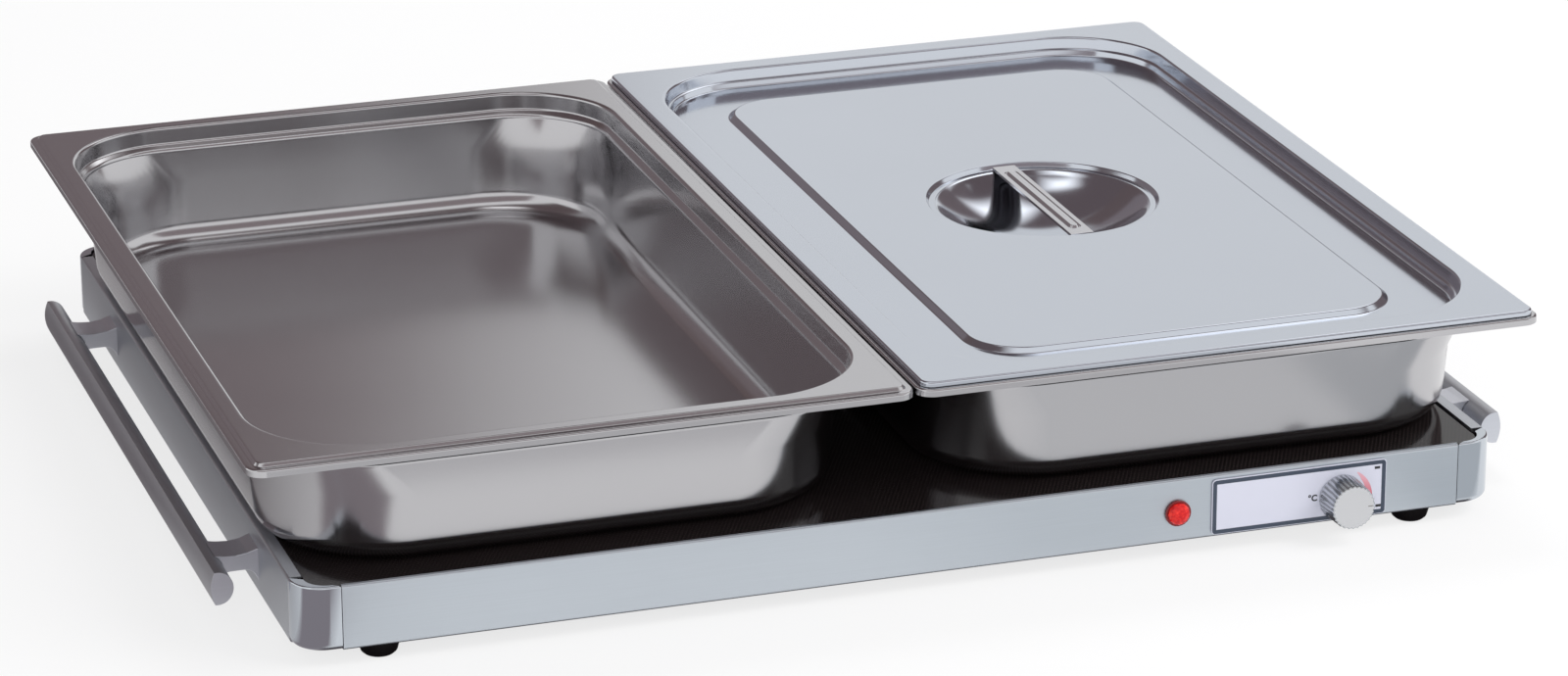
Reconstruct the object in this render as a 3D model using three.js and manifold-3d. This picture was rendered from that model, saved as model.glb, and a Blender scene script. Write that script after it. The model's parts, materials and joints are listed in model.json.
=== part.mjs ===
// Electric food warmer tray: a glass-topped warming base, two gastronorm pans and a lift-off lid.
// Millimetres, +Z up, front facing -Y, the table at z = 0.

import * as THREE from 'three';
import { mergeVertices } from 'three/addons/utils/BufferGeometryUtils.js';
import Module from 'manifold-3d';

const wasm = await Module();
wasm.setup();

// Gastronorm pans, two side by side, which set the size of the base
const panLength = 530;
const panWidth = 325;
const panHeight = 65;
const panSheet = 1;
const panSpacing = 1;
const panSideOverhang = 20.5;
const panFrontOverhang = 1.8;
const panRearOverhang = 12.2;

// Base frame
const baseWidth = 2 * (panWidth - panSideOverhang) + panSpacing;
const baseDepth = panLength - panFrontOverhang - panRearOverhang;
const innerRoom = 21;
const footHeight = 8;
const railWall = 1.8;
const railSkin = 1.5;
const railEdgeRadius = 1.2;
const frontTopWidth = 5;
const sideTopWidth = 9;
const ledgeWidth = 10;
const frontFlangeWidth = 22;
const sideFlangeWidth = 20;
const cornerFrontLeg = 21.5;
const cornerSideLeg = 17.5;
const cornerRadius = 16;
const tongueLength = 16;
const tongueRoot = 4;
const tongueThickness = 1.8;

// Running and seating clearances
const fitGap = 0.3;
const spindleGap = 0.15;
const cutOverrun = 2;

// Glass hotplate and its seal
const glassThickness = 4;
const glassDrop = 2;
const glassEdgeGap = 0.5;
const glassCornerRadius = 9;
const sealThickness = 1;
const sealWidth = 7;
const sealEdgeInset = 1;

// Heater stack
const spreaderEdgeGap = 5;
const spreaderThickness = 1.5;
const spreaderCornerRadius = 12;
const matEdgeInset = 6;
const matThickness = 1.5;
const matCornerRadius = 10;
const insulationEdgeGap = 1;

// Bottom plate
const plateSheet = 1;
const plateBorder = 30;
const platePressDepth = 1.2;
const plateCornerRadius = 13;
const platePressRadius = 22;

// Feet
const footTopRadius = 9.8;
const footToeRadius = 8.2;
const footToeRounding = 1.6;
const footFromEnd = 41.4;
const footFromFace = 12;
const footRecessRadius = 3.6;
const footRecessDepth = 4;

// Thermostat, its knob and the printed panel
const knobFromEnd = 84.5;
const knobBelowMiddle = 0.6;
const knobRadius = 11.75;
const knobFaceRadius = 11.3;
const knobLength = 15.8;
const knobEdgeRounding = 0.9;
const knobFluteDepth = 0.45;
const knobPanelGap = 0.5;
const pointerLength = 6;
const pointerWidth = 0.9;
const pointerDepth = 0.4;
const spindleRadius = 3;
const spindleInKnob = 10;
const spindleInBody = 12;
const spindleHoleRadius = 4.6;
const panelLength = 91;
const panelEdgeGap = 2.75;
const panelThickness = 0.8;
const panelCornerRadius = 2.2;
const panelFromEnd = 106;
const panelBelowMiddle = 1.25;
const thermostatWidth = 34;
const thermostatSlack = 1;
const thermostatDepth = 24;
const thermostatRounding = 3;
const bracketWidth = 46;
const bracketThickness = 1.2;
const bulbRadius = 2.4;
const bulbLength = 80;
const bulbFromEnd = 245;

// Pilot lamp
const lampFromEnd = 170.6;
const lampAboveMiddle = 1.6;
const lampBezelRadius = 6.6;
const lampBezelThickness = 1.1;
const lampLensRadius = 5.6;
const lampLensFlank = 0.9;
const lampLensRise = 2.6;
const lampBarrelRadius = 4.8;
const lampBarrelLength = 20;
const lampNutRadius = 7;
const lampNutThickness = 3;
const lampSocketDepth = 2.2;
const lampSocketWall = 0.75;

// Mains entry and safety cut-out
const glandFromEnd = 70;
const glandBarrelRadius = 7.5;
const glandHexRadius = 9.8;
const glandHexThickness = 4.5;
const glandDomeRadius = 7.8;
const glandDomeLength = 5;
const glandTipRadius = 6.2;
const glandNutSlack = 0.6;
const glandNutThickness = 4;
const glandBoreRadius = 4;
const terminalLength = 30;
const terminalDepth = 16;
const terminalHeight = 14;
const terminalFromEnd = 110;
const terminalFromFace = 22;
const terminalScrewRadius = 2;
const terminalScrewDepth = 5;
const terminalScrewPitch = 9;
const cutoutRadius = 8;
const cutoutHeight = 6;
const cutoutCapRadius = 5.5;
const cutoutCapHeight = 3;
const cutoutFromEnd = 205;

// Carrying handles
const barEndInset = 56;
const barWidth = 11;
const barHeight = 16.5;
const barRoundWidth = 7.7;
const barFlankWidth = 9.1;
const barStandoff = 17.3;
const barBelowMiddle = 1.55;
const postFrontInset = 33;
const postRearInset = 44;
const postRailHalfWidth = 10.2;
const postWaistHalfWidth = 9.3;
const postBarHalfWidth = 11;
const postRailTop = 8.8;
const postWaistTop = 6.4;
const postBarTop = 8;
const postRailBottom = 8;
const postWaistBottom = 1.7;
const postBarBottom = 4.5;
const postFilletLength = 7;
const postFilletShare = 0.25;

// Rim and well of a pan
const rimCornerRadius = 9;
const rimEdgeDrop = 5.5;
const rimEdgeChamfer = 1.2;
const rimLedgeDrop = 1.8;
const rimLedgeWidth = 3.8;
const rimStepRun = 1.4;
const flangeWidth = 11.8;
const wellRoll = 2;
const wellCornerRadius = 55;
const shoulderDepth = 9.5;
const shoulderDraft = 0.7;
const shoulderRun = 3;
const shoulderDrop = 2.5;
const panBottomInset = 24;
const panBottomRadius = 15;
const panBottomCornerRadius = 46;

// Lid with its round bowl and grip strip
const lidSheet = 0.8;
const lidEdgeInset = 2.6;
const lidEdgeChamfer = 1.2;
const lidWellInset = 15.6;
const lidWellRoll = 1.6;
const lidUpperWallDrop = 4.4;
const lidRidgeRun = 2.1;
const lidRidgeDrop = 0.8;
const lidLedgeDrop = 9;
const lidLowerWallRun = 1;
const lidLedgeRoll = 1.7;
const lidLedgeWidth = 28;
const lidPanelRise = 2.6;
const lidPanelRun = 3;
const lidPanelCornerRadius = 27;
const bowlRimRadius = 57.5;
const bowlStepRun = 1.5;
const bowlStepDrop = 2.4;
const bowlSeatWidth = 5;
const bowlDepth = 20;
const bowlJoinWidth = 3;
const gripWidth = 12.5;
const gripThickness = 1.5;
const gripRibWidth = 5;
const gripRibRise = 0.9;
const gripSeat = 4.6;

// Facet counts
const cornerSteps = 5;
const curveSteps = 4;
const bottomSteps = 4;
const bowlSegments = 32;
const bowlSteps = 5;
const roundSegments = 24;
const smallSegments = 12;
const lensSteps = 3;
const hexSides = 6;
const knobFlutes = 30;

// Levels above the table, from the rail's flange up through the room inside to the glass
const plateTop = footHeight + railSkin + fitGap + plateSheet;
const roomFloor = plateTop + fitGap;
const roomMiddle = roomFloor + innerRoom / 2;
const ledgeTop = roomFloor + innerRoom + fitGap + railSkin;
const sealBottom = ledgeTop + fitGap;
const glassBottom = sealBottom + sealThickness + fitGap;
const glassTop = glassBottom + glassThickness;
const railTop = glassTop + glassDrop;
const railHeight = railTop - footHeight;
const railMiddle = footHeight + railHeight / 2;
const spreaderBottom = glassBottom - fitGap - spreaderThickness;
const matBottom = spreaderBottom - fitGap - matThickness;
const knobAxisHeight = roomMiddle - knobBelowMiddle;
const panelAxisHeight = railMiddle - panelBelowMiddle;
const panelHeight = railHeight - 2 * panelEdgeGap;
const lampAxisHeight = roomMiddle + lampAboveMiddle;
const barAxisHeight = railMiddle - barBelowMiddle;
const thermostatHeight = innerRoom - 2 * thermostatSlack;
const glandNutRadius = innerRoom / 2 - glandNutSlack;
const insulationTop = matBottom - fitGap;
const insulationBottom = plateTop - platePressDepth + fitGap;
const panRimHeight = glassTop + fitGap + panHeight;
const panCentreY = panLength / 2 - panFrontOverhang - baseDepth / 2;
const panCentreX = (panWidth + panSpacing) / 2;
const lidTopRise = fitGap + lidSheet;
const bowlRadius = bowlRimRadius - bowlStepRun - bowlSeatWidth;
const barLength = baseDepth - 2 * barEndInset;

// Places along the front and the rear, measured from the right end of the base
const knobX = baseWidth / 2 - knobFromEnd;
const panelX = baseWidth / 2 - panelFromEnd;
const lampX = baseWidth / 2 - lampFromEnd;
const footX = baseWidth / 2 - footFromEnd;
const glandX = baseWidth / 2 - glandFromEnd;
const terminalX = baseWidth / 2 - terminalFromEnd;
const cutoutX = cutoutFromEnd - baseWidth / 2;
const bulbX = baseWidth / 2 - bulbFromEnd;

// Outlines that follow one another inside the frame
const plateInset = railWall + fitGap + tongueThickness + 2 * fitGap;
const pressInset = plateInset + plateBorder + platePressDepth;
const insulationWidth = baseWidth - 2 * (pressInset + insulationEdgeGap);
const insulationDepth = baseDepth - 2 * (pressInset + insulationEdgeGap);
const spreaderWidth = baseWidth - 2 * (sideTopWidth + ledgeWidth + spreaderEdgeGap);
const spreaderDepth = baseDepth - 2 * (frontTopWidth + ledgeWidth + spreaderEdgeGap);
const heaterMarginY = (insulationDepth + spreaderDepth) / 4;

// Finishes
const finish = (color, roughness, metalness) => (
  new THREE.MeshStandardMaterial({ color, roughness, metalness })
);
const anodised = finish(0xa9b6bd, 0.38, 0.85);
const chrome = finish(0xc8ccd0, 0.12, 1);
const steel = finish(0xb4b3bb, 0.3, 1);
const polished = finish(0xbfc6cf, 0.16, 1);
const blackGlass = finish(0x08080a, 0.08, 0);
const rubber = finish(0x141416, 0.8, 0);
const silicone = finish(0x3c3c40, 0.7, 0);
const printed = finish(0xe6e6ec, 0.5, 0);
const redLens = finish(0xe01018, 0.2, 0);
const darkPlastic = finish(0x1c1c20, 0.55, 0);
const ceramic = finish(0xd8d2c4, 0.8, 0);
const fibre = finish(0xe4e0d6, 0.95, 0);
const galvanised = finish(0x9aa0a2, 0.45, 0.9);
const brass = finish(0xc0a060, 0.35, 1);

// A geometry with positions only, shared vertices merged and empty triangles dropped
function bareGeometry(geometry) {
  const bare = new THREE.BufferGeometry();
  bare.setAttribute('position', geometry.getAttribute('position').clone());
  if (geometry.index) bare.setIndex(geometry.index.clone());
  const merged = mergeVertices(bare);
  const kept = [];
  for (let corner = 0; corner < merged.index.count; corner += 3) {
    const [a, b, c] = [0, 1, 2].map((step) => merged.index.getX(corner + step));
    if (a !== b && b !== c && c !== a) kept.push(a, b, c);
  }
  merged.setIndex(kept);
  return merged;
}

// Six times the volume inside a closed geometry, negative when its faces point in
function signedVolume(geometry) {
  const position = geometry.getAttribute('position');
  const corners = [0, 1, 2].map(() => new THREE.Vector3());
  let total = 0;
  for (let corner = 0; corner < geometry.index.count; corner += 3) {
    corners.forEach((vector, step) => {
      vector.fromBufferAttribute(position, geometry.index.getX(corner + step));
    });
    total += corners[0].dot(corners[1].cross(corners[2]));
  }
  return total;
}

// The same closed geometry with every face pointing out
function facingOut(geometry) {
  const bare = bareGeometry(geometry);
  if (signedVolume(bare) < 0) {
    const flipped = Array.from(bare.index.array);
    for (let corner = 0; corner < flipped.length; corner += 3) {
      [flipped[corner + 1], flipped[corner + 2]] = [flipped[corner + 2], flipped[corner + 1]];
    }
    bare.setIndex(flipped);
  }
  return bare;
}

function solidOf(geometry) {
  const closed = facingOut(geometry);
  return new wasm.Manifold(new wasm.Mesh({
    numProp: 3,
    vertProperties: new Float32Array(closed.getAttribute('position').array),
    triVerts: new Uint32Array(closed.index.array),
  }));
}

function geometryOf(solid) {
  const mesh = solid.getMesh();
  const geometry = new THREE.BufferGeometry();
  geometry.setAttribute('position', new THREE.BufferAttribute(new Float32Array(mesh.vertProperties), 3));
  geometry.setIndex(new THREE.BufferAttribute(new Uint32Array(mesh.triVerts), 1));
  return geometry;
}

const joined = (first, ...others) => geometryOf(
  others.reduce((total, other) => total.add(solidOf(other)), solidOf(first)),
);
const cutBy = (first, ...cutters) => geometryOf(
  cutters.reduce((total, cutter) => total.subtract(solidOf(cutter)), solidOf(first)),
);
const common = (first, second) => geometryOf(solidOf(first).intersect(solidOf(second)));

// A shape pushed up from z = bottom
function prismUp(shape, bottom, height) {
  const geometry = new THREE.ExtrudeGeometry(shape, {
    depth: height, bevelEnabled: false, curveSegments: curveSteps,
  });
  return geometry.translate(0, 0, bottom);
}

// A shape drawn in Y and Z, pushed along X about the middle
function prismAlongX(shape, length) {
  const turn = new THREE.Matrix4().makeBasis(
    new THREE.Vector3(0, 1, 0), new THREE.Vector3(0, 0, 1), new THREE.Vector3(1, 0, 0),
  );
  return prismUp(shape, -length / 2, length).applyMatrix4(turn);
}

// A shape drawn in X and Z, pushed along Y about the middle
function prismAlongY(shape, length) {
  return prismUp(shape, -length / 2, length).rotateX(Math.PI / 2);
}

// A profile of radius and height turned about the vertical axis
function turned(points, segments) {
  const profile = points.map(([radius, height]) => new THREE.Vector2(radius, height));
  return new THREE.LatheGeometry(profile, segments).rotateX(Math.PI / 2);
}

// The same, with its height axis turned to run along -Y, out of the front face
function turnedForward(points, segments) {
  return turned(points, segments).rotateX(Math.PI / 2);
}

function box(low, high) {
  const size = high.map((value, axis) => value - low[axis]);
  const centre = high.map((value, axis) => (value + low[axis]) / 2);
  return new THREE.BoxGeometry(...size).translate(...centre);
}

// A round bar along Y between two places
function barAlongY(radius, x, z, fromY, toY) {
  const bar = new THREE.CylinderGeometry(radius, radius, toY - fromY, roundSegments);
  return bar.translate(x, (fromY + toY) / 2, z);
}

function roundedRectangle(width, height, radius) {
  const [halfX, halfY] = [width / 2, height / 2];
  const shape = new THREE.Shape();
  shape.moveTo(radius - halfX, -halfY);
  shape.lineTo(halfX - radius, -halfY);
  shape.absarc(halfX - radius, radius - halfY, radius, -Math.PI / 2, 0, false);
  shape.lineTo(halfX, halfY - radius);
  shape.absarc(halfX - radius, halfY - radius, radius, 0, Math.PI / 2, false);
  shape.lineTo(radius - halfX, halfY);
  shape.absarc(radius - halfX, halfY - radius, radius, Math.PI / 2, Math.PI, false);
  shape.lineTo(-halfX, radius - halfY);
  shape.absarc(radius - halfX, radius - halfY, radius, Math.PI, Math.PI * 1.5, false);
  return shape;
}

// Points round a rounded rectangle, anticlockwise from above
function roundedRing(halfX, halfY, radius, z) {
  const sides = [[1, 1], [-1, 1], [-1, -1], [1, -1]];
  const steps = Array.from({ length: cornerSteps + 1 }, (unused, step) => step / cornerSteps);
  return sides.flatMap(([sideX, sideY], quarter) => steps.map((share) => {
    const angle = (quarter + share) * Math.PI / 2;
    return [
      sideX * (halfX - radius) + radius * Math.cos(angle),
      sideY * (halfY - radius) + radius * Math.sin(angle),
      z,
    ];
  }));
}

// A skin over rings of equal count, closed flat at the first and the last ring
function loft(rings) {
  const count = rings[0].length;
  const indices = [];
  for (let ring = 0; ring + 1 < rings.length; ring += 1) {
    for (let step = 0; step < count; step += 1) {
      const next = (step + 1) % count;
      const [here, ahead] = [ring * count + step, ring * count + next];
      indices.push(here, here + count, ahead + count, here, ahead + count, ahead);
    }
  }
  const last = (rings.length - 1) * count;
  for (let step = 1; step + 1 < count; step += 1) {
    indices.push(0, step, step + 1, last, last + step + 1, last + step);
  }
  const geometry = new THREE.BufferGeometry();
  geometry.setAttribute('position', new THREE.Float32BufferAttribute(rings.flat(2), 3));
  geometry.setIndex(indices);
  return geometry;
}

// The hidden face of a sheet whose shown face runs outwards through the profile's points
function hiddenFace(profile, thickness) {
  const slopes = profile.slice(1).map((point, index) => {
    const run = profile[index].inset - point.inset;
    const rise = point.z - profile[index].z;
    const length = Math.hypot(run, rise);
    return [run / length, rise / length];
  });
  return profile.map((point, index) => {
    const before = slopes[index - 1] ?? [1, 0];
    const after = slopes[index] ?? before;
    const share = 1 / (1 + before[0] * after[0] + before[1] * after[1]);
    const shift = -thickness * share * (before[1] + after[1]);
    return {
      inset: point.inset + shift,
      z: point.z - thickness * share * (before[0] + after[0]),
      radius: point.radius - shift,
    };
  });
}

// A pressed sheet with rounded corners, from the profile of its shown face
function pressedSheet(width, length, profile, thickness) {
  const faces = [...profile, ...hiddenFace(profile, thickness).reverse()];
  return loft(faces.map(({ inset, z, radius }) => (
    roundedRing(width / 2 - inset, length / 2 - inset, radius, z)
  )));
}

function named(name, geometry, material) {
  const mesh = new THREE.Mesh(bareGeometry(geometry), material);
  mesh.geometry.computeVertexNormals();
  mesh.name = name;
  return mesh;
}

// Frame rail section: outer wall, top face, glass ledge and bottom flange, drawn inwards from the outer face
function railSection(topWidth, flange) {
  const rise = ledgeTop - footHeight;
  const shape = new THREE.Shape();
  shape.moveTo(0, 0);
  shape.lineTo(flange, 0);
  shape.lineTo(flange, railSkin);
  shape.lineTo(railWall, railSkin);
  shape.lineTo(railWall, railHeight - railSkin);
  shape.lineTo(topWidth - railSkin, railHeight - railSkin);
  shape.lineTo(topWidth - railSkin, rise - railSkin);
  shape.lineTo(topWidth + ledgeWidth, rise - railSkin);
  shape.lineTo(topWidth + ledgeWidth, rise);
  shape.lineTo(topWidth, rise);
  shape.lineTo(topWidth, railHeight);
  shape.lineTo(railEdgeRadius, railHeight);
  shape.absarc(railEdgeRadius, railHeight - railEdgeRadius, railEdgeRadius, Math.PI / 2, Math.PI, false);
  return shape;
}

function makeRails() {
  const frontLength = baseWidth - 2 * cornerFrontLeg - fitGap;
  const sideLength = baseDepth - 2 * cornerSideLeg - fitGap;
  const placed = (section, length, reach) => prismAlongX(section, length).translate(0, -reach, footHeight);
  const front = placed(railSection(frontTopWidth, frontFlangeWidth), frontLength, baseDepth / 2);
  const side = placed(railSection(sideTopWidth, sideFlangeWidth), sideLength, baseWidth / 2);
  const hole = (radius, x, z) => barAlongY(
    radius, x, z, -baseDepth / 2 - cutOverrun, -baseDepth / 2 + railWall + cutOverrun,
  );
  const frontHoles = [
    hole(spindleHoleRadius, knobX, knobAxisHeight),
    hole(lampBarrelRadius + fitGap, lampX, lampAxisHeight),
  ];
  const rearHole = hole(glandBarrelRadius + fitGap, -glandX, roomMiddle);
  return [
    named('front_rail', cutBy(front, ...frontHoles), anodised),
    named('rear_rail', cutBy(front, rearHole).rotateZ(Math.PI), anodised),
    named('left_rail', side.clone().rotateZ(-Math.PI / 2), anodised),
    named('right_rail', side.clone().rotateZ(Math.PI / 2), anodised),
  ];
}

// Outline of a corner casting from its two legs to the round outer corner, closed by the inner points
function cornerOutline(innerPoints) {
  const [legX, legY] = [cornerFrontLeg - fitGap / 2, cornerSideLeg - fitGap / 2];
  const shape = new THREE.Shape();
  shape.moveTo(0, legY);
  shape.lineTo(0, cornerRadius);
  shape.absarc(cornerRadius, cornerRadius, cornerRadius, Math.PI, Math.PI * 1.5, false);
  shape.lineTo(legX, 0);
  innerPoints(shape, legX, legY);
  return shape;
}

// The front left corner casting, its outer corner at the origin
function cornerCasting() {
  const innerRadius = cornerRadius - railWall;
  const wall = cornerOutline((shape, legX, legY) => {
    shape.lineTo(legX, railWall);
    shape.lineTo(cornerRadius, railWall);
    shape.absarc(cornerRadius, cornerRadius, innerRadius, Math.PI * 1.5, Math.PI, true);
    shape.lineTo(railWall, legY);
  });
  const lip = cornerOutline((shape, legX, legY) => {
    shape.lineTo(legX, frontTopWidth);
    shape.lineTo(sideTopWidth + glassCornerRadius, frontTopWidth);
    shape.absarc(sideTopWidth + glassCornerRadius, frontTopWidth + glassCornerRadius, glassCornerRadius,
      Math.PI * 1.5, Math.PI, true);
    shape.lineTo(sideTopWidth, legY);
  });
  const ledge = cornerOutline((shape, legX, legY) => {
    shape.lineTo(legX, frontTopWidth + ledgeWidth);
    shape.lineTo(sideTopWidth + ledgeWidth, frontTopWidth + ledgeWidth);
    shape.lineTo(sideTopWidth + ledgeWidth, legY);
  });
  const floor = cornerOutline((shape, legX, legY) => {
    shape.lineTo(legX, legY);
  });
  const rise = ledgeTop - footHeight;
  const tongueIn = railWall + fitGap;
  const tongueOut = tongueIn + tongueThickness;
  const tongueLow = footHeight + railSkin + fitGap;
  const tongueHigh = ledgeTop - railSkin - fitGap;
  const [legX, legY] = [cornerFrontLeg - fitGap / 2, cornerSideLeg - fitGap / 2];
  const weldFace = railWall / 2;
  return joined(
    prismUp(wall, footHeight, railHeight),
    prismUp(lip, ledgeTop - railSkin, railHeight - rise + railSkin),
    prismUp(ledge, ledgeTop - railSkin, railSkin),
    prismUp(floor, footHeight, railSkin),
    box([legX - tongueRoot, weldFace, tongueLow], [legX, tongueOut, tongueHigh]),
    box([legX - tongueRoot, tongueIn, tongueLow], [legX + tongueLength, tongueOut, tongueHigh]),
    box([weldFace, legY - tongueRoot, tongueLow], [tongueOut, legY, tongueHigh]),
    box([tongueIn, legY - tongueRoot, tongueLow], [tongueOut, legY + tongueLength, tongueHigh]),
  );
}

function makeCorners() {
  const left = cornerCasting().translate(-baseWidth / 2, -baseDepth / 2, 0);
  const right = facingOut(left.clone().scale(-1, 1, 1));
  return [
    named('corner_front_left', left, chrome),
    named('corner_front_right', right, chrome),
    named('corner_rear_left', right.clone().rotateZ(Math.PI), chrome),
    named('corner_rear_right', left.clone().rotateZ(Math.PI), chrome),
  ];
}

function makeGlass() {
  const width = baseWidth - 2 * (sideTopWidth + glassEdgeGap);
  const depth = baseDepth - 2 * (frontTopWidth + glassEdgeGap);
  const outline = roundedRectangle(width, depth, glassCornerRadius);
  const insetOutline = (inset) => roundedRectangle(
    width - 2 * inset, depth - 2 * inset, glassCornerRadius - sealEdgeInset,
  );
  const sealOutline = insetOutline(sealEdgeInset);
  sealOutline.holes.push(insetOutline(sealEdgeInset + sealWidth));
  return [
    named('glass_plate', prismUp(outline, glassBottom, glassThickness), blackGlass),
    named('glass_seal', prismUp(sealOutline, sealBottom, sealThickness), silicone),
  ];
}

function makeHeater() {
  const spreader = roundedRectangle(spreaderWidth, spreaderDepth, spreaderCornerRadius);
  const mat = roundedRectangle(insulationWidth - 2 * matEdgeInset, insulationDepth - 2 * matEdgeInset,
    matCornerRadius);
  const insulation = roundedRectangle(insulationWidth, insulationDepth,
    platePressRadius - insulationEdgeGap);
  const cutoutTop = spreaderBottom - fitGap;
  const cutoutShoulder = cutoutTop - cutoutHeight;
  const cutout = turned([
    [0, cutoutShoulder - cutoutCapHeight], [cutoutCapRadius, cutoutShoulder - cutoutCapHeight],
    [cutoutCapRadius, cutoutShoulder], [cutoutRadius, cutoutShoulder],
    [cutoutRadius, cutoutTop], [0, cutoutTop],
  ], roundSegments).translate(cutoutX, heaterMarginY, 0);
  const bulb = new THREE.CylinderGeometry(bulbRadius, bulbRadius, bulbLength, smallSegments)
    .rotateZ(Math.PI / 2)
    .translate(bulbX, -heaterMarginY, spreaderBottom - fitGap - bulbRadius);
  return [
    named('heat_spreader', prismUp(spreader, spreaderBottom, spreaderThickness), galvanised),
    named('heating_mat', prismUp(mat, matBottom, matThickness), ceramic),
    named('insulation_mat', prismUp(insulation, insulationBottom, insulationTop - insulationBottom), fibre),
    named('thermal_cutout', cutout, darkPlastic),
    named('sensor_bulb', bulb, brass),
  ];
}

function makeBottomPlate() {
  const profile = [
    { inset: pressInset, z: plateTop - platePressDepth, radius: platePressRadius },
    { inset: pressInset - platePressDepth, z: plateTop, radius: platePressRadius + platePressDepth },
    { inset: plateInset, z: plateTop, radius: plateCornerRadius },
  ];
  return [named('bottom_plate', pressedSheet(baseWidth, baseDepth, profile, plateSheet), galvanised)];
}

function makeFeet() {
  const top = footHeight - fitGap;
  const foot = turned([
    [0, footRecessDepth], [footRecessRadius, footRecessDepth], [footRecessRadius, 0],
    [footToeRadius - footToeRounding, 0], [footToeRadius, footToeRounding], [footTopRadius, top], [0, top],
  ], roundSegments);
  const places = [
    ['front_left', -1, -1], ['front_right', 1, -1], ['rear_left', -1, 1], ['rear_right', 1, 1],
  ];
  return places.map(([place, sideX, sideY]) => {
    const mesh = named(`foot_${place}`, foot, rubber);
    mesh.position.set(sideX * footX, sideY * (baseDepth / 2 - footFromFace), 0);
    return mesh;
  });
}

const panelFace = -baseDepth / 2 - fitGap - panelThickness;

function makePanel() {
  const outline = roundedRectangle(panelLength, panelHeight, panelCornerRadius);
  const plate = prismAlongY(outline, panelThickness)
    .translate(panelX, panelFace + panelThickness / 2, panelAxisHeight);
  const hole = barAlongY(spindleHoleRadius, knobX, knobAxisHeight, panelFace - cutOverrun,
    cutOverrun - baseDepth / 2);
  return [named('control_panel', cutBy(plate, hole), printed)];
}

// A fluted ring about the knob's axis
function flutedRing(radius, fluteDepth, height) {
  const count = knobFlutes * 2;
  return Array.from({ length: count }, (unused, step) => {
    const angle = step / count * Math.PI * 2;
    const reach = step % 2 ? radius : radius - fluteDepth;
    return [reach * Math.cos(angle), reach * Math.sin(angle), height];
  });
}

function makeKnob() {
  const shoulder = knobLength - knobEdgeRounding;
  const skin = loft([
    flutedRing(knobRadius, knobFluteDepth, 0),
    flutedRing(knobFaceRadius, knobFluteDepth, shoulder),
    flutedRing(knobFaceRadius - knobEdgeRounding, 0, knobLength),
  ]);
  const boreTop = spindleInKnob + fitGap;
  const bore = new THREE.CylinderGeometry(spindleRadius + spindleGap, spindleRadius + spindleGap,
    boreTop + cutOverrun, roundSegments).rotateX(Math.PI / 2).translate(0, 0, (boreTop - cutOverrun) / 2);
  const edge = knobFaceRadius - knobEdgeRounding;
  const pointer = box([edge - pointerLength, -pointerWidth / 2, knobLength - pointerDepth],
    [edge + cutOverrun, pointerWidth / 2, knobLength + cutOverrun]);
  const knob = named('knob', cutBy(skin, bore, pointer).rotateX(Math.PI / 2), chrome);
  const knobBack = panelFace - knobPanelGap;
  knob.position.set(knobX, knobBack, knobAxisHeight);
  const bodyFront = -baseDepth / 2 + railWall + fitGap;
  const spindle = barAlongY(spindleRadius, knobX, knobAxisHeight, knobBack - spindleInKnob,
    bodyFront + spindleInBody - fitGap);
  return [knob, named('thermostat_spindle', spindle, brass)];
}

function makeThermostat() {
  const front = -baseDepth / 2 + railWall + fitGap;
  const caseOutline = roundedRectangle(thermostatWidth, thermostatHeight, thermostatRounding);
  const body = prismAlongY(caseOutline, thermostatDepth)
    .translate(knobX, front + thermostatDepth / 2, roomMiddle);
  const bracket = prismAlongY(roundedRectangle(bracketWidth, thermostatHeight - thermostatRounding,
    thermostatRounding), bracketThickness)
    .translate(knobX, front + bracketThickness / 2, roomMiddle);
  const socket = barAlongY(spindleRadius + spindleGap, knobX, knobAxisHeight, front - cutOverrun,
    front + spindleInBody);
  return [named('thermostat_body', cutBy(joined(body, bracket), socket), galvanised)];
}

function makeLamp() {
  const face = -baseDepth / 2;
  const seat = fitGap;
  const back = railWall + fitGap;
  const lensGap = fitGap / 2;
  const front = seat + lampBezelThickness;
  const socketFloor = front - lampSocketDepth;
  const socketRadius = lampBarrelRadius - lampSocketWall;
  const body = turnedForward([
    [0, -lampBarrelLength], [lampBarrelRadius, -lampBarrelLength],
    [lampBarrelRadius, -back - lampNutThickness], [lampNutRadius, -back - lampNutThickness],
    [lampNutRadius, -back], [lampBarrelRadius, -back], [lampBarrelRadius, seat], [lampBezelRadius, seat],
    [lampBezelRadius, front], [socketRadius, front], [socketRadius, socketFloor], [0, socketFloor],
  ], roundSegments);
  const lensStem = socketRadius - lensGap;
  const lensBase = front + lensGap;
  const arc = Array.from({ length: lensSteps }, (unused, step) => {
    const angle = step / lensSteps * Math.PI / 2;
    return [lampLensRadius * Math.cos(angle), lensBase + lampLensFlank + lampLensRise * Math.sin(angle)];
  });
  const lens = turnedForward([
    [0, socketFloor + lensGap], [lensStem, socketFloor + lensGap], [lensStem, lensBase],
    [lampLensRadius, lensBase], ...arc, [0, lensBase + lampLensFlank + lampLensRise],
  ], smallSegments);
  const pieces = [['lamp_body', body, darkPlastic], ['lamp_lens', lens, redLens]];
  return pieces.map(([name, geometry, material]) => {
    const mesh = named(name, facingOut(geometry), material);
    mesh.position.set(lampX, face, lampAxisHeight);
    return mesh;
  });
}

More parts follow.
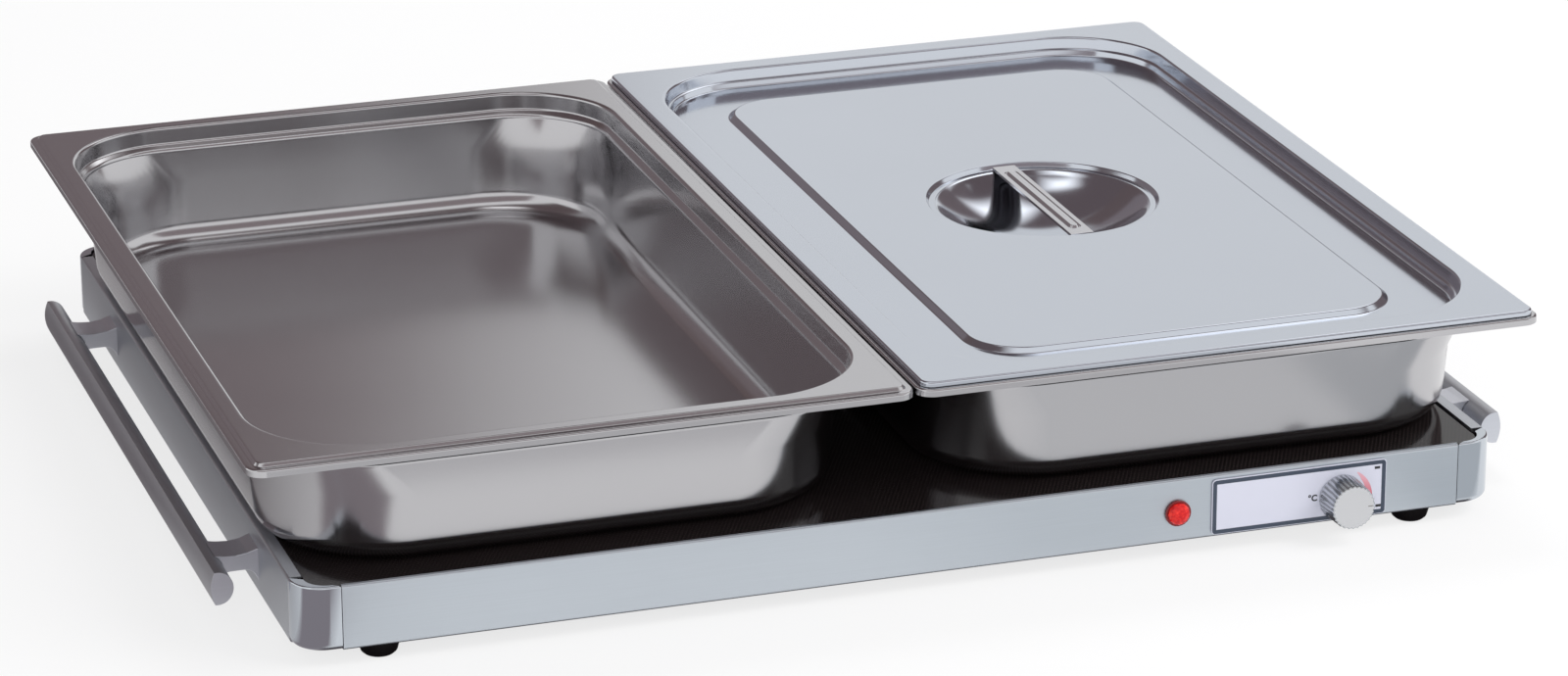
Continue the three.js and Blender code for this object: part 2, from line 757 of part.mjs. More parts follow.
function makeMainsEntry() {
  const back = railWall + fitGap;
  const hexFront = fitGap + glandHexThickness;
  const tip = hexFront + glandDomeLength;
  const round = turnedForward([
    [glandBoreRadius, -back - glandNutThickness], [glandBarrelRadius, -back - glandNutThickness],
    [glandBarrelRadius, hexFront], [glandDomeRadius, hexFront],
    [glandTipRadius, tip], [glandBoreRadius, tip], [glandBoreRadius, -back - glandNutThickness],
  ], roundSegments);
  const ringOf = (radius, low, high) => turnedForward([
    [glandBarrelRadius - fitGap, low], [radius, low], [radius, high], [glandBarrelRadius - fitGap, high],
    [glandBarrelRadius - fitGap, low],
  ], hexSides);
  const gland = named('cable_gland', joined(round, ringOf(glandHexRadius, fitGap, hexFront),
    ringOf(glandNutRadius, -back - glandNutThickness, -back)), darkPlastic);
  gland.rotation.z = Math.PI;
  gland.position.set(glandX, baseDepth / 2, roomMiddle);
  const low = roomFloor;
  const centreY = baseDepth / 2 - terminalFromFace;
  const block = box([terminalX - terminalLength / 2, centreY - terminalDepth / 2, low],
    [terminalX + terminalLength / 2, centreY + terminalDepth / 2, low + terminalHeight]);
  const screw = new THREE.CylinderGeometry(terminalScrewRadius, terminalScrewRadius,
    2 * terminalScrewDepth, smallSegments).rotateX(Math.PI / 2);
  const screws = [-1, 0, 1].map((place) => screw.clone()
    .translate(terminalX + place * terminalScrewPitch, centreY, low + terminalHeight));
  return [gland, named('terminal_block', cutBy(block, ...screws), ceramic)];
}

// Handle bar section drawn outwards from its finger side, grown all round by a clearance
function barSection(grow) {
  const half = barHeight / 2 + grow;
  const crest = barWidth + grow;
  const flank = barFlankWidth + grow;
  const shape = new THREE.Shape();
  shape.moveTo(barRoundWidth, half);
  shape.absellipse(barRoundWidth, 0, barRoundWidth + grow, half, Math.PI / 2, Math.PI * 1.5, false);
  shape.lineTo(flank, -half);
  shape.quadraticCurveTo(2 * crest - flank, 0, flank, half);
  return shape;
}

// A handle post between the rail and the bar, narrow in the waist in both views
function postSolid() {
  const reach = barStandoff + barRoundWidth;
  const side = new THREE.Shape();
  side.moveTo(fitGap, -postRailBottom);
  side.quadraticCurveTo(postFilletLength * postFilletShare, -postWaistBottom,
    postFilletLength, -postWaistBottom);
  side.lineTo(barStandoff - postFilletLength / 2, -postWaistBottom);
  side.quadraticCurveTo(barStandoff, -postWaistBottom, reach, -postBarBottom);
  side.lineTo(reach, postBarTop);
  side.quadraticCurveTo(barStandoff / 2, 2 * postWaistTop - (postBarTop + postRailTop) / 2,
    fitGap, postRailTop);
  const plan = new THREE.Shape();
  plan.moveTo(0, -postRailHalfWidth);
  plan.quadraticCurveTo(barStandoff / 2, -postWaistHalfWidth, reach + cutOverrun, -postBarHalfWidth);
  plan.lineTo(reach + cutOverrun, postBarHalfWidth);
  plan.quadraticCurveTo(barStandoff / 2, postWaistHalfWidth, 0, postRailHalfWidth);
  const blank = common(
    prismAlongY(side, 2 * (postBarHalfWidth + cutOverrun)),
    prismUp(plan, -barHeight, 2 * barHeight),
  );
  const bar = prismAlongY(barSection(fitGap), 2 * (postBarHalfWidth + 2 * cutOverrun));
  return cutBy(blank, bar.translate(barStandoff, 0, 0));
}

function makeHandles() {
  const bar = prismAlongY(barSection(0), barLength).translate(baseWidth / 2 + barStandoff, 0, barAxisHeight);
  const postY = { front: postFrontInset - barLength / 2, rear: barLength / 2 - postRearInset };
  const post = postSolid();
  return [['right', 1], ['left', -1]].flatMap(([side, sign]) => {
    const mirrored = (geometry) => facingOut(geometry.clone().scale(sign, 1, 1));
    const posts = ['front', 'rear'].map((place) => named(
      `${side}_handle_post_${place}`,
      mirrored(post.clone().translate(baseWidth / 2, postY[place], barAxisHeight)),
      anodised,
    ));
    return [named(`${side}_handle_bar`, mirrored(bar), anodised), ...posts];
  });
}

// Shown face of a gastronorm pan, from the floor out to the turned-down edge, measured from the rim's top
function panProfile() {
  const floor = panSheet - panHeight;
  const flangeOuter = rimLedgeWidth + rimStepRun;
  const wellTop = flangeWidth + wellRoll;
  const wellFoot = wellTop + shoulderDraft;
  const shoulderZ = -shoulderDepth - shoulderDrop;
  const arc = Array.from({ length: bottomSteps + 1 }, (unused, step) => {
    const angle = step / bottomSteps * Math.PI / 2;
    const inwards = panBottomRadius * (1 - Math.sin(angle));
    return {
      inset: panBottomInset + inwards,
      z: floor + panBottomRadius * (1 - Math.cos(angle)),
      radius: panBottomCornerRadius - inwards,
    };
  });
  return [
    ...arc,
    { inset: wellFoot + shoulderRun, z: shoulderZ, radius: wellCornerRadius - shoulderRun },
    { inset: wellFoot, z: -shoulderDepth, radius: wellCornerRadius },
    { inset: wellTop, z: -wellRoll, radius: wellCornerRadius + shoulderDraft },
    { inset: flangeWidth, z: 0, radius: wellCornerRadius + shoulderDraft + wellRoll },
    { inset: flangeOuter, z: 0, radius: rimCornerRadius - flangeOuter },
    { inset: rimLedgeWidth, z: -rimLedgeDrop, radius: rimCornerRadius - rimLedgeWidth },
    { inset: rimEdgeChamfer, z: -rimLedgeDrop, radius: rimCornerRadius - rimEdgeChamfer },
    { inset: 0, z: -rimLedgeDrop - rimEdgeChamfer, radius: rimCornerRadius },
    { inset: 0, z: -rimEdgeDrop, radius: rimCornerRadius },
  ];
}

function makePans() {
  const pan = pressedSheet(panWidth, panLength, panProfile(), panSheet);
  return [['left_pan', -1], ['right_pan', 1]].map(([name, side]) => {
    const mesh = named(name, pan, steel);
    mesh.position.set(side * panCentreX, panCentreY, panRimHeight);
    return mesh;
  });
}

// Shown face of the lid, from the raised panel out to the turned-down edge
function lidProfile() {
  const top = lidTopRise;
  const ridgeInset = lidWellInset + lidWellRoll;
  const ridgeZ = top - lidUpperWallDrop - lidWellRoll;
  const lowerInset = ridgeInset + lidRidgeRun;
  const lowerZ = ridgeZ - lidRidgeDrop;
  const ledge = lowerInset + lidLowerWallRun + lidLedgeRoll;
  const panel = ledge + lidLedgeWidth;
  const outer = rimCornerRadius - lidEdgeInset;
  const rollZ = lidLedgeRoll / 2 - lidLedgeDrop;
  return [
    { inset: panel + lidPanelRun, z: lidPanelRise - lidLedgeDrop, radius: lidPanelCornerRadius },
    { inset: panel, z: -lidLedgeDrop, radius: lidPanelCornerRadius + lidPanelRun },
    { inset: ledge, z: -lidLedgeDrop, radius: wellCornerRadius - shoulderRun },
    { inset: ledge - lidLedgeRoll, z: rollZ, radius: wellCornerRadius - lidRidgeRun },
    { inset: lowerInset, z: lowerZ, radius: wellCornerRadius - lidLowerWallRun },
    { inset: ridgeInset, z: ridgeZ, radius: wellCornerRadius },
    { inset: ridgeInset, z: top - lidWellRoll, radius: wellCornerRadius },
    { inset: lidWellInset, z: top, radius: wellCornerRadius + lidWellRoll },
    { inset: lidEdgeInset + lidEdgeChamfer, z: top, radius: outer - lidEdgeChamfer },
    { inset: lidEdgeInset, z: top - lidEdgeChamfer, radius: outer },
    { inset: lidEdgeInset, z: fitGap - rimLedgeDrop, radius: outer },
  ];
}

// The round bowl pressed into the lid, with the ring that carries the grip strip
function bowlSheet(panelTop) {
  const ringZ = panelTop - bowlStepDrop;
  const sphere = (bowlRadius ** 2 + bowlDepth ** 2) / (2 * bowlDepth);
  const edgeAngle = Math.asin(bowlRadius / sphere);
  const arc = (grow) => Array.from({ length: bowlSteps + 1 }, (unused, step) => {
    const angle = step / bowlSteps * edgeAngle;
    const drop = Math.sqrt(sphere ** 2 - bowlRadius ** 2) + ringZ;
    return [(sphere + grow) * Math.sin(angle), drop - (sphere + grow) * Math.cos(angle)];
  });
  const join = bowlRimRadius + bowlJoinWidth;
  const shown = [
    ...arc(0), [bowlRimRadius - bowlStepRun, ringZ], [bowlRimRadius, panelTop], [join, panelTop],
  ];
  const hidden = [
    [join, panelTop - lidSheet], [bowlRimRadius + lidSheet / 2, panelTop - lidSheet],
    [bowlRimRadius - bowlStepRun + lidSheet / 2, ringZ - lidSheet],
    ...arc(lidSheet).reverse().filter(([radius]) => radius < bowlRimRadius - bowlStepRun),
  ];
  return turned([...shown, ...hidden], bowlSegments);
}

function makeLid() {
  const panelTop = lidPanelRise - lidLedgeDrop;
  const sheet = pressedSheet(panWidth, panLength, lidProfile(), lidSheet);
  const joinMiddle = bowlRimRadius + bowlJoinWidth / 2;
  const opening = new THREE.CylinderGeometry(joinMiddle, joinMiddle, 2 * bowlDepth, bowlSegments)
    .rotateX(Math.PI / 2)
    .translate(0, 0, panelTop);
  const lid = named('lid', joined(cutBy(sheet, opening), bowlSheet(panelTop)), polished);
  const seat = panelTop - bowlStepDrop + fitGap;
  const [half, rib] = [gripWidth / 2, gripRibWidth / 2];
  const shape = new THREE.Shape();
  shape.moveTo(-half, 0);
  shape.lineTo(half, 0);
  shape.lineTo(half, gripThickness);
  shape.lineTo(rib + gripRibRise, gripThickness);
  shape.lineTo(rib, gripThickness + gripRibRise);
  shape.lineTo(-rib, gripThickness + gripRibRise);
  shape.lineTo(-rib - gripRibRise, gripThickness);
  shape.lineTo(-half, gripThickness);
  const strip = prismAlongY(shape, 2 * (bowlRadius + gripSeat)).translate(0, 0, seat);
  return [lid, named('lid_handle', strip, polished)].map((mesh) => {
    mesh.position.set(panCentreX, panCentreY, panRimHeight);
    return mesh;
  });
}

// The whole warmer, centred on the table front to back by the knob's face and the pans' rear edge
const warmer = new THREE.Group();
warmer.add(
  ...makeRails(), ...makeCorners(), ...makeGlass(), ...makeHeater(), ...makeBottomPlate(), ...makeFeet(),
  ...makePanel(), ...makeKnob(), ...makeThermostat(), ...makeLamp(), ...makeMainsEntry(), ...makeHandles(),
  ...makePans(), ...makeLid(),
);
const frontReach = panelFace - knobPanelGap - knobLength;
const rearReach = panCentreY + panLength / 2;
warmer.position.y = -(frontReach + rearReach) / 2;

const object = new THREE.Group();
object.add(warmer);

export default object;
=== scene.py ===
import json
import math

import bmesh
import bpy
from mathutils import Matrix, Vector


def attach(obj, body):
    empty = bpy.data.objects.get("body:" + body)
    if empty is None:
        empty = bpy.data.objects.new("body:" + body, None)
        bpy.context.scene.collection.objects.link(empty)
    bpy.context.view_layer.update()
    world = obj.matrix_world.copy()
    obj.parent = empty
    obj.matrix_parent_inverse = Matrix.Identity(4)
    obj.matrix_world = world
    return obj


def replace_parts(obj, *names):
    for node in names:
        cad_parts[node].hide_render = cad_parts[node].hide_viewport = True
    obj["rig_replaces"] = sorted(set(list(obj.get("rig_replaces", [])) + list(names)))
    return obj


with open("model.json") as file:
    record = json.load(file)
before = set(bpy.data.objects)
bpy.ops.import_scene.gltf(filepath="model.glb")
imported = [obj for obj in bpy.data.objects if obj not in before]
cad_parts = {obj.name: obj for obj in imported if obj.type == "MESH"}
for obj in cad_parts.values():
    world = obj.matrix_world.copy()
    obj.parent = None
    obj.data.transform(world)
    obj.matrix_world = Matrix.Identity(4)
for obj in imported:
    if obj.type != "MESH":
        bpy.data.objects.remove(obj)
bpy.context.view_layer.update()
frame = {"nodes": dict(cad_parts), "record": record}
mm = 0.001  # the pieces are given in millimetres, the camera and the studio in metres
near = 0.1  # how far from a place still counts as being there
hair = 0.01  # the same where points lie close together

camera = {
    "place": (-0.8263, -2.5678, 1.0219),
    "azimuth": -18.18,  # degrees, from straight in front towards the left
    "elevation": 19.97,
    "roll": -0.25,
    "lens": 126.7,
    "sensor": 36,
}


def setUpCamera():
    turn = (
        Matrix.Rotation(math.radians(camera["azimuth"]), 3, "Z")
        @ Matrix.Rotation(math.radians(90 - camera["elevation"]), 3, "X")
        @ Matrix.Rotation(math.radians(camera["roll"]), 3, "Z")
    )
    bpy.ops.object.camera_add(location=camera["place"], rotation=turn.to_euler())
    eye = bpy.context.object
    eye.name = "photoCamera"
    eye.data.sensor_fit = "HORIZONTAL"
    eye.data.sensor_width = camera["sensor"]
    eye.data.lens = camera["lens"]
    bpy.context.scene.camera = eye


setUpCamera()
print("camera set")

# Shader nodes


class Wire:
    # an output socket that can be used in sums
    def __init__(self, nodes, socket):
        self.nodes = nodes
        self.socket = socket

    def __add__(self, other):
        return self.nodes.maths("ADD", self, other)

    def __sub__(self, other):
        return self.nodes.maths("SUBTRACT", self, other)

    def __rsub__(self, other):
        return self.nodes.maths("SUBTRACT", other, self)

    def __mul__(self, other):
        return self.nodes.maths("MULTIPLY", self, other)

    def __truediv__(self, other):
        return self.nodes.maths("DIVIDE", self, other)

    def __rtruediv__(self, other):
        return self.nodes.maths("DIVIDE", other, self)

    def __lt__(self, other):
        return self.nodes.maths("LESS_THAN", self, other)

    def __gt__(self, other):
        return self.nodes.maths("GREATER_THAN", self, other)

    __radd__ = __add__
    __rmul__ = __mul__

    def fraction(self):
        return self.nodes.maths("FRACT", self)

    def beside(self, name):
        # another output of the same node
        return Wire(self.nodes, self.socket.node.outputs[name])


class Nodes:
    # the node tree of a material or of the world
    def __init__(self, owner):
        owner.use_nodes = True
        self.tree = owner.node_tree

    def join(self, value, socket):
        if isinstance(value, Wire):
            self.tree.links.new(value.socket, socket)
        else:
            socket.default_value = value

    def node(self, kind, settings=None, inputs=None, output=0):
        made = self.tree.nodes.new("ShaderNode" + kind)
        for name, value in (settings or {}).items():
            if name == "stops":
                for stop, (position, shade) in zip(made.color_ramp.elements, value):
                    stop.position = position
                    stop.color = (shade, shade, shade, 1)
            else:
                setattr(made, name, value)
        for name, value in (inputs or {}).items():
            self.join(value, made.inputs[name])
        return Wire(self, made.outputs[output])

    def maths(self, operation, *values):
        return self.node("Math", {"operation": operation}, dict(enumerate(values)))

    def blend(self, amount, colourA, colourB):
        return self.node("Mix", {"data_type": "RGBA"}, {0: amount, 6: colourA, 7: colourB}, 2)

    def mixShaders(self, amount, shaderA, shaderB):
        return self.node("MixShader", {}, {0: amount, 1: shaderA, 2: shaderB})

    def glow(self, colour):
        return self.node("Emission", {}, {"Color": colour, "Strength": 1.0})

    def place(self, stretch=(1, 1, 1)):
        # where a point is on the object, in metres, stretched for grain
        spot = self.node("TexCoord", {}, {}, "Object")
        return self.node("Mapping", {}, {"Vector": spot, "Scale": stretch})

    def placeAlong(self, axis):
        return self.node("SeparateXYZ", {}, {"Vector": self.place()}, axis)

    def noise(self, scale, detail=2, roughness=0.5, stretch=(1, 1, 1)):
        settings = {"Vector": self.place(stretch), "Scale": scale, "Detail": detail, "Roughness": roughness}
        return self.node("TexNoise", {}, settings, "Fac")

    def ramp(self, value, low, high):
        # nothing up to low, full from high on
        return self.node("ValToRGB", {"stops": ((low, 0.0), (high, 1.0))}, {"Fac": value})


class Finish(Nodes):
    # a material made round one Principled shader
    def __init__(self, name, **settings):
        self.material = bpy.data.materials.new(name)
        super().__init__(self.material)
        self.shader = self.tree.nodes["Principled BSDF"]
        for words, value in settings.items():
            self.set(words, value)

    def set(self, words, value):
        # baseColor, coatWeight and the like are the shader's sockets
        for socket in self.shader.inputs:
            if socket.name.replace(" ", "").lower() == words.lower():
                self.join(value, socket)

    def bump(self, height, strength, distance):
        # distance in millimetres
        inputs = {"Height": height, "Strength": strength, "Distance": distance * mm}
        self.set("normal", self.node("Bump", {}, inputs, "Normal"))

    def surface(self, shader):
        self.join(shader, self.tree.nodes["Material Output"].inputs["Surface"])


def shaded(tone, share=1):
    # an opaque colour, darker or lighter than the tone
    return (*(min(1, part * share) for part in tone), 1)


def grainAlong(axis, fine):
    # stretches noise into grain along one axis, this much finer across it
    return {"X": (1, fine, fine), "Y": (fine, 1, fine)}[axis]


def satinSteel(name, tone, gloss, axis):
    # pressed stainless sheet: rolling grain one way, faint clouds and a few fine wiping marks
    steel = Finish(name, metallic=1.0)
    grain = steel.noise(scale=28, detail=3, roughness=0.6, stretch=grainAlong(axis, 60))
    cloud = steel.noise(scale=9, detail=3, roughness=0.55)
    marks = steel.ramp(steel.noise(scale=55, detail=4, roughness=0.7, stretch=(3, 1, 3)), 0.60, 0.74)
    steel.set("baseColor", steel.blend(cloud * 0.6 + grain * 0.4, shaded(tone, 0.96), shaded(tone, 1.03)))
    steel.set("roughness", cloud * 0.04 + grain * 0.03 + marks * 0.02 + (gloss - 0.03))
    steel.bump(grain, strength=0.02, distance=0.1)
    return steel


def anodised(name, tone, gloss, axis):
    # satin anodised extrusion: very fine drawn lines along its length
    metal = Finish(name, metallic=1.0)
    lines = metal.noise(scale=30, detail=2, roughness=0.5, stretch=grainAlong(axis, 90))
    cloud = metal.noise(scale=14, detail=2, roughness=0.5)
    metal.set("baseColor", metal.blend(lines * 0.6 + cloud * 0.4, shaded(tone, 0.92), shaded(tone, 1.05)))
    metal.set("roughness", gloss + lines * 0.06 + cloud * 0.03)
    metal.bump(lines, strength=0.06, distance=0.3)
    return metal


def chrome(name, tone, gloss):
    # bright plating over a casting: nearly a mirror, a little uneven under it
    plating = Finish(name, metallic=1.0)
    uneven = plating.noise(scale=38, detail=2, roughness=0.4)
    dust = plating.ramp(plating.noise(scale=420, detail=2, roughness=0.6), 0.62, 0.75)
    plating.set("baseColor", plating.blend(uneven, shaded(tone, 0.96), shaded(tone)))
    plating.set("roughness", gloss + dust * 0.05)
    plating.bump(uneven, strength=0.05, distance=0.5)
    return plating


enamel = {
    "pitch": 2.1,  # millimetres from dot to dot
    "dot": 0.055,  # square of a dot's radius, as a share of the pitch
    "dotTone": (0.040, 0.030, 0.030),
    "tones": ((0.006, 0.005, 0.005), (0.012, 0.009, 0.009)),
}


def printedGlass():
    # black enamel under toughened glass, with staggered rows of small brown dots
    pane = Finish("printedGlass", roughness=0.09, specularIORLevel=0.22)
    spot = pane.placeAlong("X")
    across = spot / (enamel["pitch"] * mm)
    back = spot.beside("Y") / (enamel["pitch"] * mm)
    odd = (back * 0.5).fraction() > 0.5
    x = (across + odd * 0.5).fraction() - 0.5
    y = back.fraction() - 0.5
    dot = (x * x + y * y) < enamel["dot"]
    cloud = pane.noise(scale=16, detail=3, roughness=0.6)
    ground = pane.blend(cloud, *map(shaded, enamel["tones"]))
    pane.set("baseColor", pane.blend(dot, ground, shaded(enamel["dotTone"])))
    pane.set("roughness", cloud * 0.05 + 0.07)
    return pane


def printedFoil(name, tone, roughness):
    # printed and lacquered plate
    foil = Finish(name, coatWeight=0.25)
    specks = foil.noise(scale=600, detail=2, roughness=0.6)
    cloud = foil.noise(scale=30, detail=2, roughness=0.5)
    foil.set("baseColor", foil.blend(cloud, shaded(tone, 0.97), shaded(tone)))
    foil.set("roughness", roughness + specks * 0.08)
    foil.bump(specks, strength=0.04, distance=0.1)
    return foil


def fadingInk(name, lowTone, highTone, low, high):
    # ink that pales from one height to another
    ink = Finish(name, coatWeight=0.25)
    share = (ink.placeAlong("Z") - low * mm) / ((high - low) * mm)
    specks = ink.noise(scale=600, detail=2, roughness=0.6)
    ink.set("baseColor", ink.blend(ink.ramp(share, 0, 1), shaded(lowTone), shaded(highTone)))
    ink.set("roughness", specks * 0.08 + 0.45)
    return ink


def rubber(name, tone):
    rind = Finish(name, specularIORLevel=0.12)
    grit = rind.noise(scale=900, detail=3, roughness=0.7)
    rind.set("baseColor", rind.blend(grit, shaded(tone, 0.8), shaded(tone, 1.3)))
    rind.set("roughness", 0.5 + grit * 0.2)
    rind.bump(grit, strength=0.25, distance=0.2)
    return rind


def plainStock(name, tone, roughness, metallic, grit, stretch=(1, 1, 1)):
    # parts out of sight: a tone, a tooth and a little unevenness
    stock = Finish(name, metallic=metallic)
    tooth = stock.noise(scale=grit, detail=3, roughness=0.6, stretch=stretch)
    stock.set("baseColor", stock.blend(tooth, shaded(tone, 0.85), shaded(tone, 1.1)))
    stock.set("roughness", roughness + tooth * 0.12)
    stock.bump(tooth, strength=0.2, distance=0.3)
    return stock


# the red lens's own tones, and the glow painted into it as glints
redLensAndPaintedGlints = {
    "tones": ((0.30, 0.000, 0.002), (0.80, 0.015, 0.015)),
    "lit": ((0.16, 0.000, 0.001), (1.0, 0.10, 0.05)),
    "strength": 0.42,
}


def redLens():
    # moulded red lens; its glow, stronger in the streaks, is painted glints
    lens = Finish("redLens", roughness=0.08, specularIORLevel=0.25, coatWeight=0.25, coatRoughness=0.04)
    lens.set("emissionStrength", redLensAndPaintedGlints["strength"])
    streaks = lens.noise(scale=420, detail=3, roughness=0.6)
    lens.set("baseColor", lens.blend(streaks, *map(shaded, redLensAndPaintedGlints["tones"])))
    # painted glints: the glow is brighter along the streaks
    lens.set("emissionColor", lens.blend(lens.ramp(streaks, 0.45, 0.75), *map(shaded, redLensAndPaintedGlints["lit"])))
    return lens


finishes = {
    "pan": satinSteel("panSteel", (0.52, 0.515, 0.53), 0.16, "Y"),
    "lid": satinSteel("lidSteel", (0.58, 0.615, 0.68), 0.12, "Y"),
    "grip": satinSteel("gripSteel", (0.58, 0.575, 0.60), 0.18, "Y"),
    # the grip's underside: its stainless steel painted near black as painted shade
    "gripUnder": satinSteel("gripPaintedShadeUnderside", (0.10, 0.09, 0.095), 0.35, "Y"),
    "railAlongX": anodised("railFrontAluminium", (0.57, 0.615, 0.665), 0.34, "X"),
    # side rails: the front rail's anodised aluminium, painted darker as shade
    "railAlongY": anodised("railSideShadedAluminium", (0.50, 0.52, 0.555), 0.34, "Y"),
    # handle bars: anodised aluminium painted darker as shade, their end faces painted lighter as light
    "bar": anodised("handleBarShadedAluminium", (0.48, 0.485, 0.515), 0.34, "Y"),
    "barEnd": anodised("handleBarEndsLit", (0.66, 0.68, 0.735), 0.34, "X"),
    "post": anodised("handlePostAluminium", (0.63, 0.64, 0.69), 0.34, "X"),
    "corner": chrome("cornerChrome", (0.58, 0.62, 0.67), 0.05),
    "knobSide": chrome("knobChrome", (0.60, 0.62, 0.64), 0.20),
    # the flutes' grooves: darker chrome as painted shade
    "knobGroovePaintedShade": chrome("knobGroovePaintedShade", (0.32, 0.33, 0.34), 0.28),
    "knobFace": satinSteel("knobFaceSteel", (0.75, 0.75, 0.765), 0.34, "X"),
    "glass": printedGlass(),
    "plate": printedFoil("controlPlate", (0.65, 0.66, 0.76), 0.32),
    "ink": printedFoil("panelInk", (0.035, 0.05, 0.08), 0.45),
    "blackInk": printedFoil("panelBlackInk", (0.012, 0.012, 0.014), 0.5),
    "pointerInk": printedFoil("pointerInk", (0.20, 0.19, 0.18), 0.4),
    "redInk": fadingInk("panelRedInk", (0.62, 0.13, 0.18), (0.80, 0.47, 0.53), low=20, high=34),
    "foot": rubber("footRubber", (0.004, 0.003, 0.0035)),
    "lens": redLens(),
    "bezel": plainStock("lampBezel", (0.20, 0.008, 0.010), 0.2, 0.0, 300),
    "screw": plainStock("zincScrew", (0.55, 0.56, 0.57), 0.28, 1.0, 500),
}

# one finish for each slot of the record, for the parts that keep their CAD form
slotFinishes = {
    "anodised_aluminium": finishes["railAlongX"],
    "chromed_casting": finishes["corner"],
    "black_glass": finishes["glass"],
    "silicone": plainStock("sealSilicone", (0.30, 0.07, 0.04), 0.5, 0.0, 400),
    "plain_aluminium": plainStock("spreaderAluminium", (0.66, 0.67, 0.68), 0.3, 1.0, 60, (1, 40, 1)),
    "ceramic": plainStock("whiteCeramic", (0.72, 0.70, 0.66), 0.35, 0.0, 350),
    "fibre": plainStock("mineralFibre", (0.62, 0.60, 0.55), 0.8, 0.0, 260, (1, 1, 8)),
    "dark_plastic": plainStock("darkPlastic", (0.030, 0.030, 0.033), 0.42, 0.0, 700),
    "brass": plainStock("turnedBrass", (0.70, 0.50, 0.22), 0.25, 1.0, 90, (1, 60, 1)),
    "sheet_steel": plainStock("zincSheet", (0.52, 0.53, 0.54), 0.36, 1.0, 45),
    "foot_rubber": finishes["foot"],
    "printed_panel": finishes["plate"],
    "knob_chrome": finishes["knobSide"],
    "red_lens": finishes["lens"],
    "pan_steel": finishes["pan"],
    "lid_steel": finishes["lid"],
}


def dressKeptNodes():
    for part in frame["record"]["subparts"]:
        node = frame["nodes"][part["node"]]
        node.data.materials.clear()
        node.data.materials.append(slotFinishes[part["material_slot"]].material)
    frame["nodes"]["lamp_body"].data.materials[0] = finishes["bezel"].material


dressKeptNodes()
print("materials:", len(bpy.data.materials))

# Modelling steps that the pieces share; lengths are in millimetres


def putDown():
    # closes the open piece and leaves nothing selected
    if bpy.context.object and bpy.context.object.mode == "EDIT":
        bpy.ops.object.mode_set(mode="OBJECT")
    bpy.ops.object.select_all(action="DESELECT")


def takeUp(piece):
    putDown()
    piece.select_set(True)
    bpy.context.view_layer.objects.active = piece


def openAgain(piece):
    takeUp(piece)
    bpy.ops.object.mode_set(mode="EDIT")


def metres(place):
    return Vector([part * mm for part in place])


def settle():
    # the place, turn and size of the piece go into its mesh
    bpy.ops.object.transform_apply(location=True, rotation=True, scale=True)


def startPiece(name, addPrimitive, **settings):
    # adds a primitive at its size and place and opens it
    putDown()
    addPrimitive(**settings)
    piece = bpy.context.object
    piece.name = piece.data.name = name
    settle()
    bpy.ops.object.mode_set(mode="EDIT")
    return piece


def startRod(name, facets, radius, long, centre=0, lying=False):
    # upright about the Z axis, or lying along Y
    turn = (math.pi / 2, 0, 0) if lying else (0, 0, 0)
    size = {"vertices": facets, "radius": radius * mm, "depth": long * mm}
    place = {"location": (0, 0, centre * mm), "rotation": turn}
    return startPiece(name, bpy.ops.mesh.primitive_cylinder_add, **size, **place)


def startSheet(name, wide, long, radius=0, steps=0):
    # a flat sheet about the origin, with round corners where a radius is given
    sheet = startPiece(name, bpy.ops.mesh.primitive_plane_add, size=1)
    stretch(wide * mm, long * mm)
    if radius:
        roundCorners(radius, steps)
    return sheet


def nextSheet():
    # a further sheet in the open piece, picked
    bpy.ops.mesh.select_all(action="DESELECT")
    bpy.ops.mesh.primitive_plane_add(size=1)


def middle(part):
    # where a vert, or the middle of an edge or face, is
    corners = getattr(part, "verts", [part])
    return sum((corner.co for corner in corners), Vector()) / len(corners) / mm


def pick(kind, test):
    # selects verts, edges or faces of the open piece by their place or normal
    bpy.ops.mesh.select_mode(type=kind)
    bpy.ops.mesh.select_all(action="DESELECT")
    mesh = bpy.context.object.data
    shape = bmesh.from_edit_mesh(mesh)
    shape.normal_update()
    for part in {"VERT": shape.verts, "EDGE": shape.edges, "FACE": shape.faces}[kind]:
        if test(part):
            part.select_set(True)
    bmesh.update_edit_mesh(mesh)


def pickAll():
    bpy.ops.mesh.select_all(action="SELECT")


def facing(x, y, z, least=0.9):
    side = Vector((x, y, z))
    return lambda face: face.normal.dot(side) > least


def stretch(x, y):
    # by factors, about the origin
    bpy.ops.transform.resize(value=(x, y, 1), center_override=(0, 0, 0))


def moveBy(x, y, z):
    bpy.ops.transform.translate(value=(x * mm, y * mm, z * mm))


def extrudeBy(x, y, z):
    bpy.ops.mesh.extrude_region_move(TRANSFORM_OT_translate={"value": (x * mm, y * mm, z * mm)})


def inset(inwards, up=0):
    bpy.ops.mesh.inset(thickness=inwards * mm, depth=up * mm)


def removePicked(kind="FACE"):
    bpy.ops.mesh.delete(type=kind)


def roundPicked(width, steps=4):
    bpy.ops.mesh.bevel(offset=width * mm, segments=steps, profile=0.5, affect="EDGES")


def roundCorners(radius, steps):
    bpy.ops.mesh.bevel(offset=radius * mm, segments=steps, profile=0.5, affect="VERTICES")


def turnOutwards():
    pickAll()
    bpy.ops.mesh.normals_make_consistent(inside=False)


def modify(kind, **settings):
    # a modifier on the active piece, applied at once
    if bpy.context.object.mode == "EDIT":
        bpy.ops.object.mode_set(mode="OBJECT")
    tool = bpy.context.object.modifiers.new(kind, kind)
    for name, value in settings.items():
        setattr(tool, name, value)
    bpy.ops.object.modifier_apply(modifier=tool.name)


def giveWall(thickness):
    # the shown face stays where it is
    modify("SOLIDIFY", thickness=thickness * mm, offset=-1, use_even_offset=True)


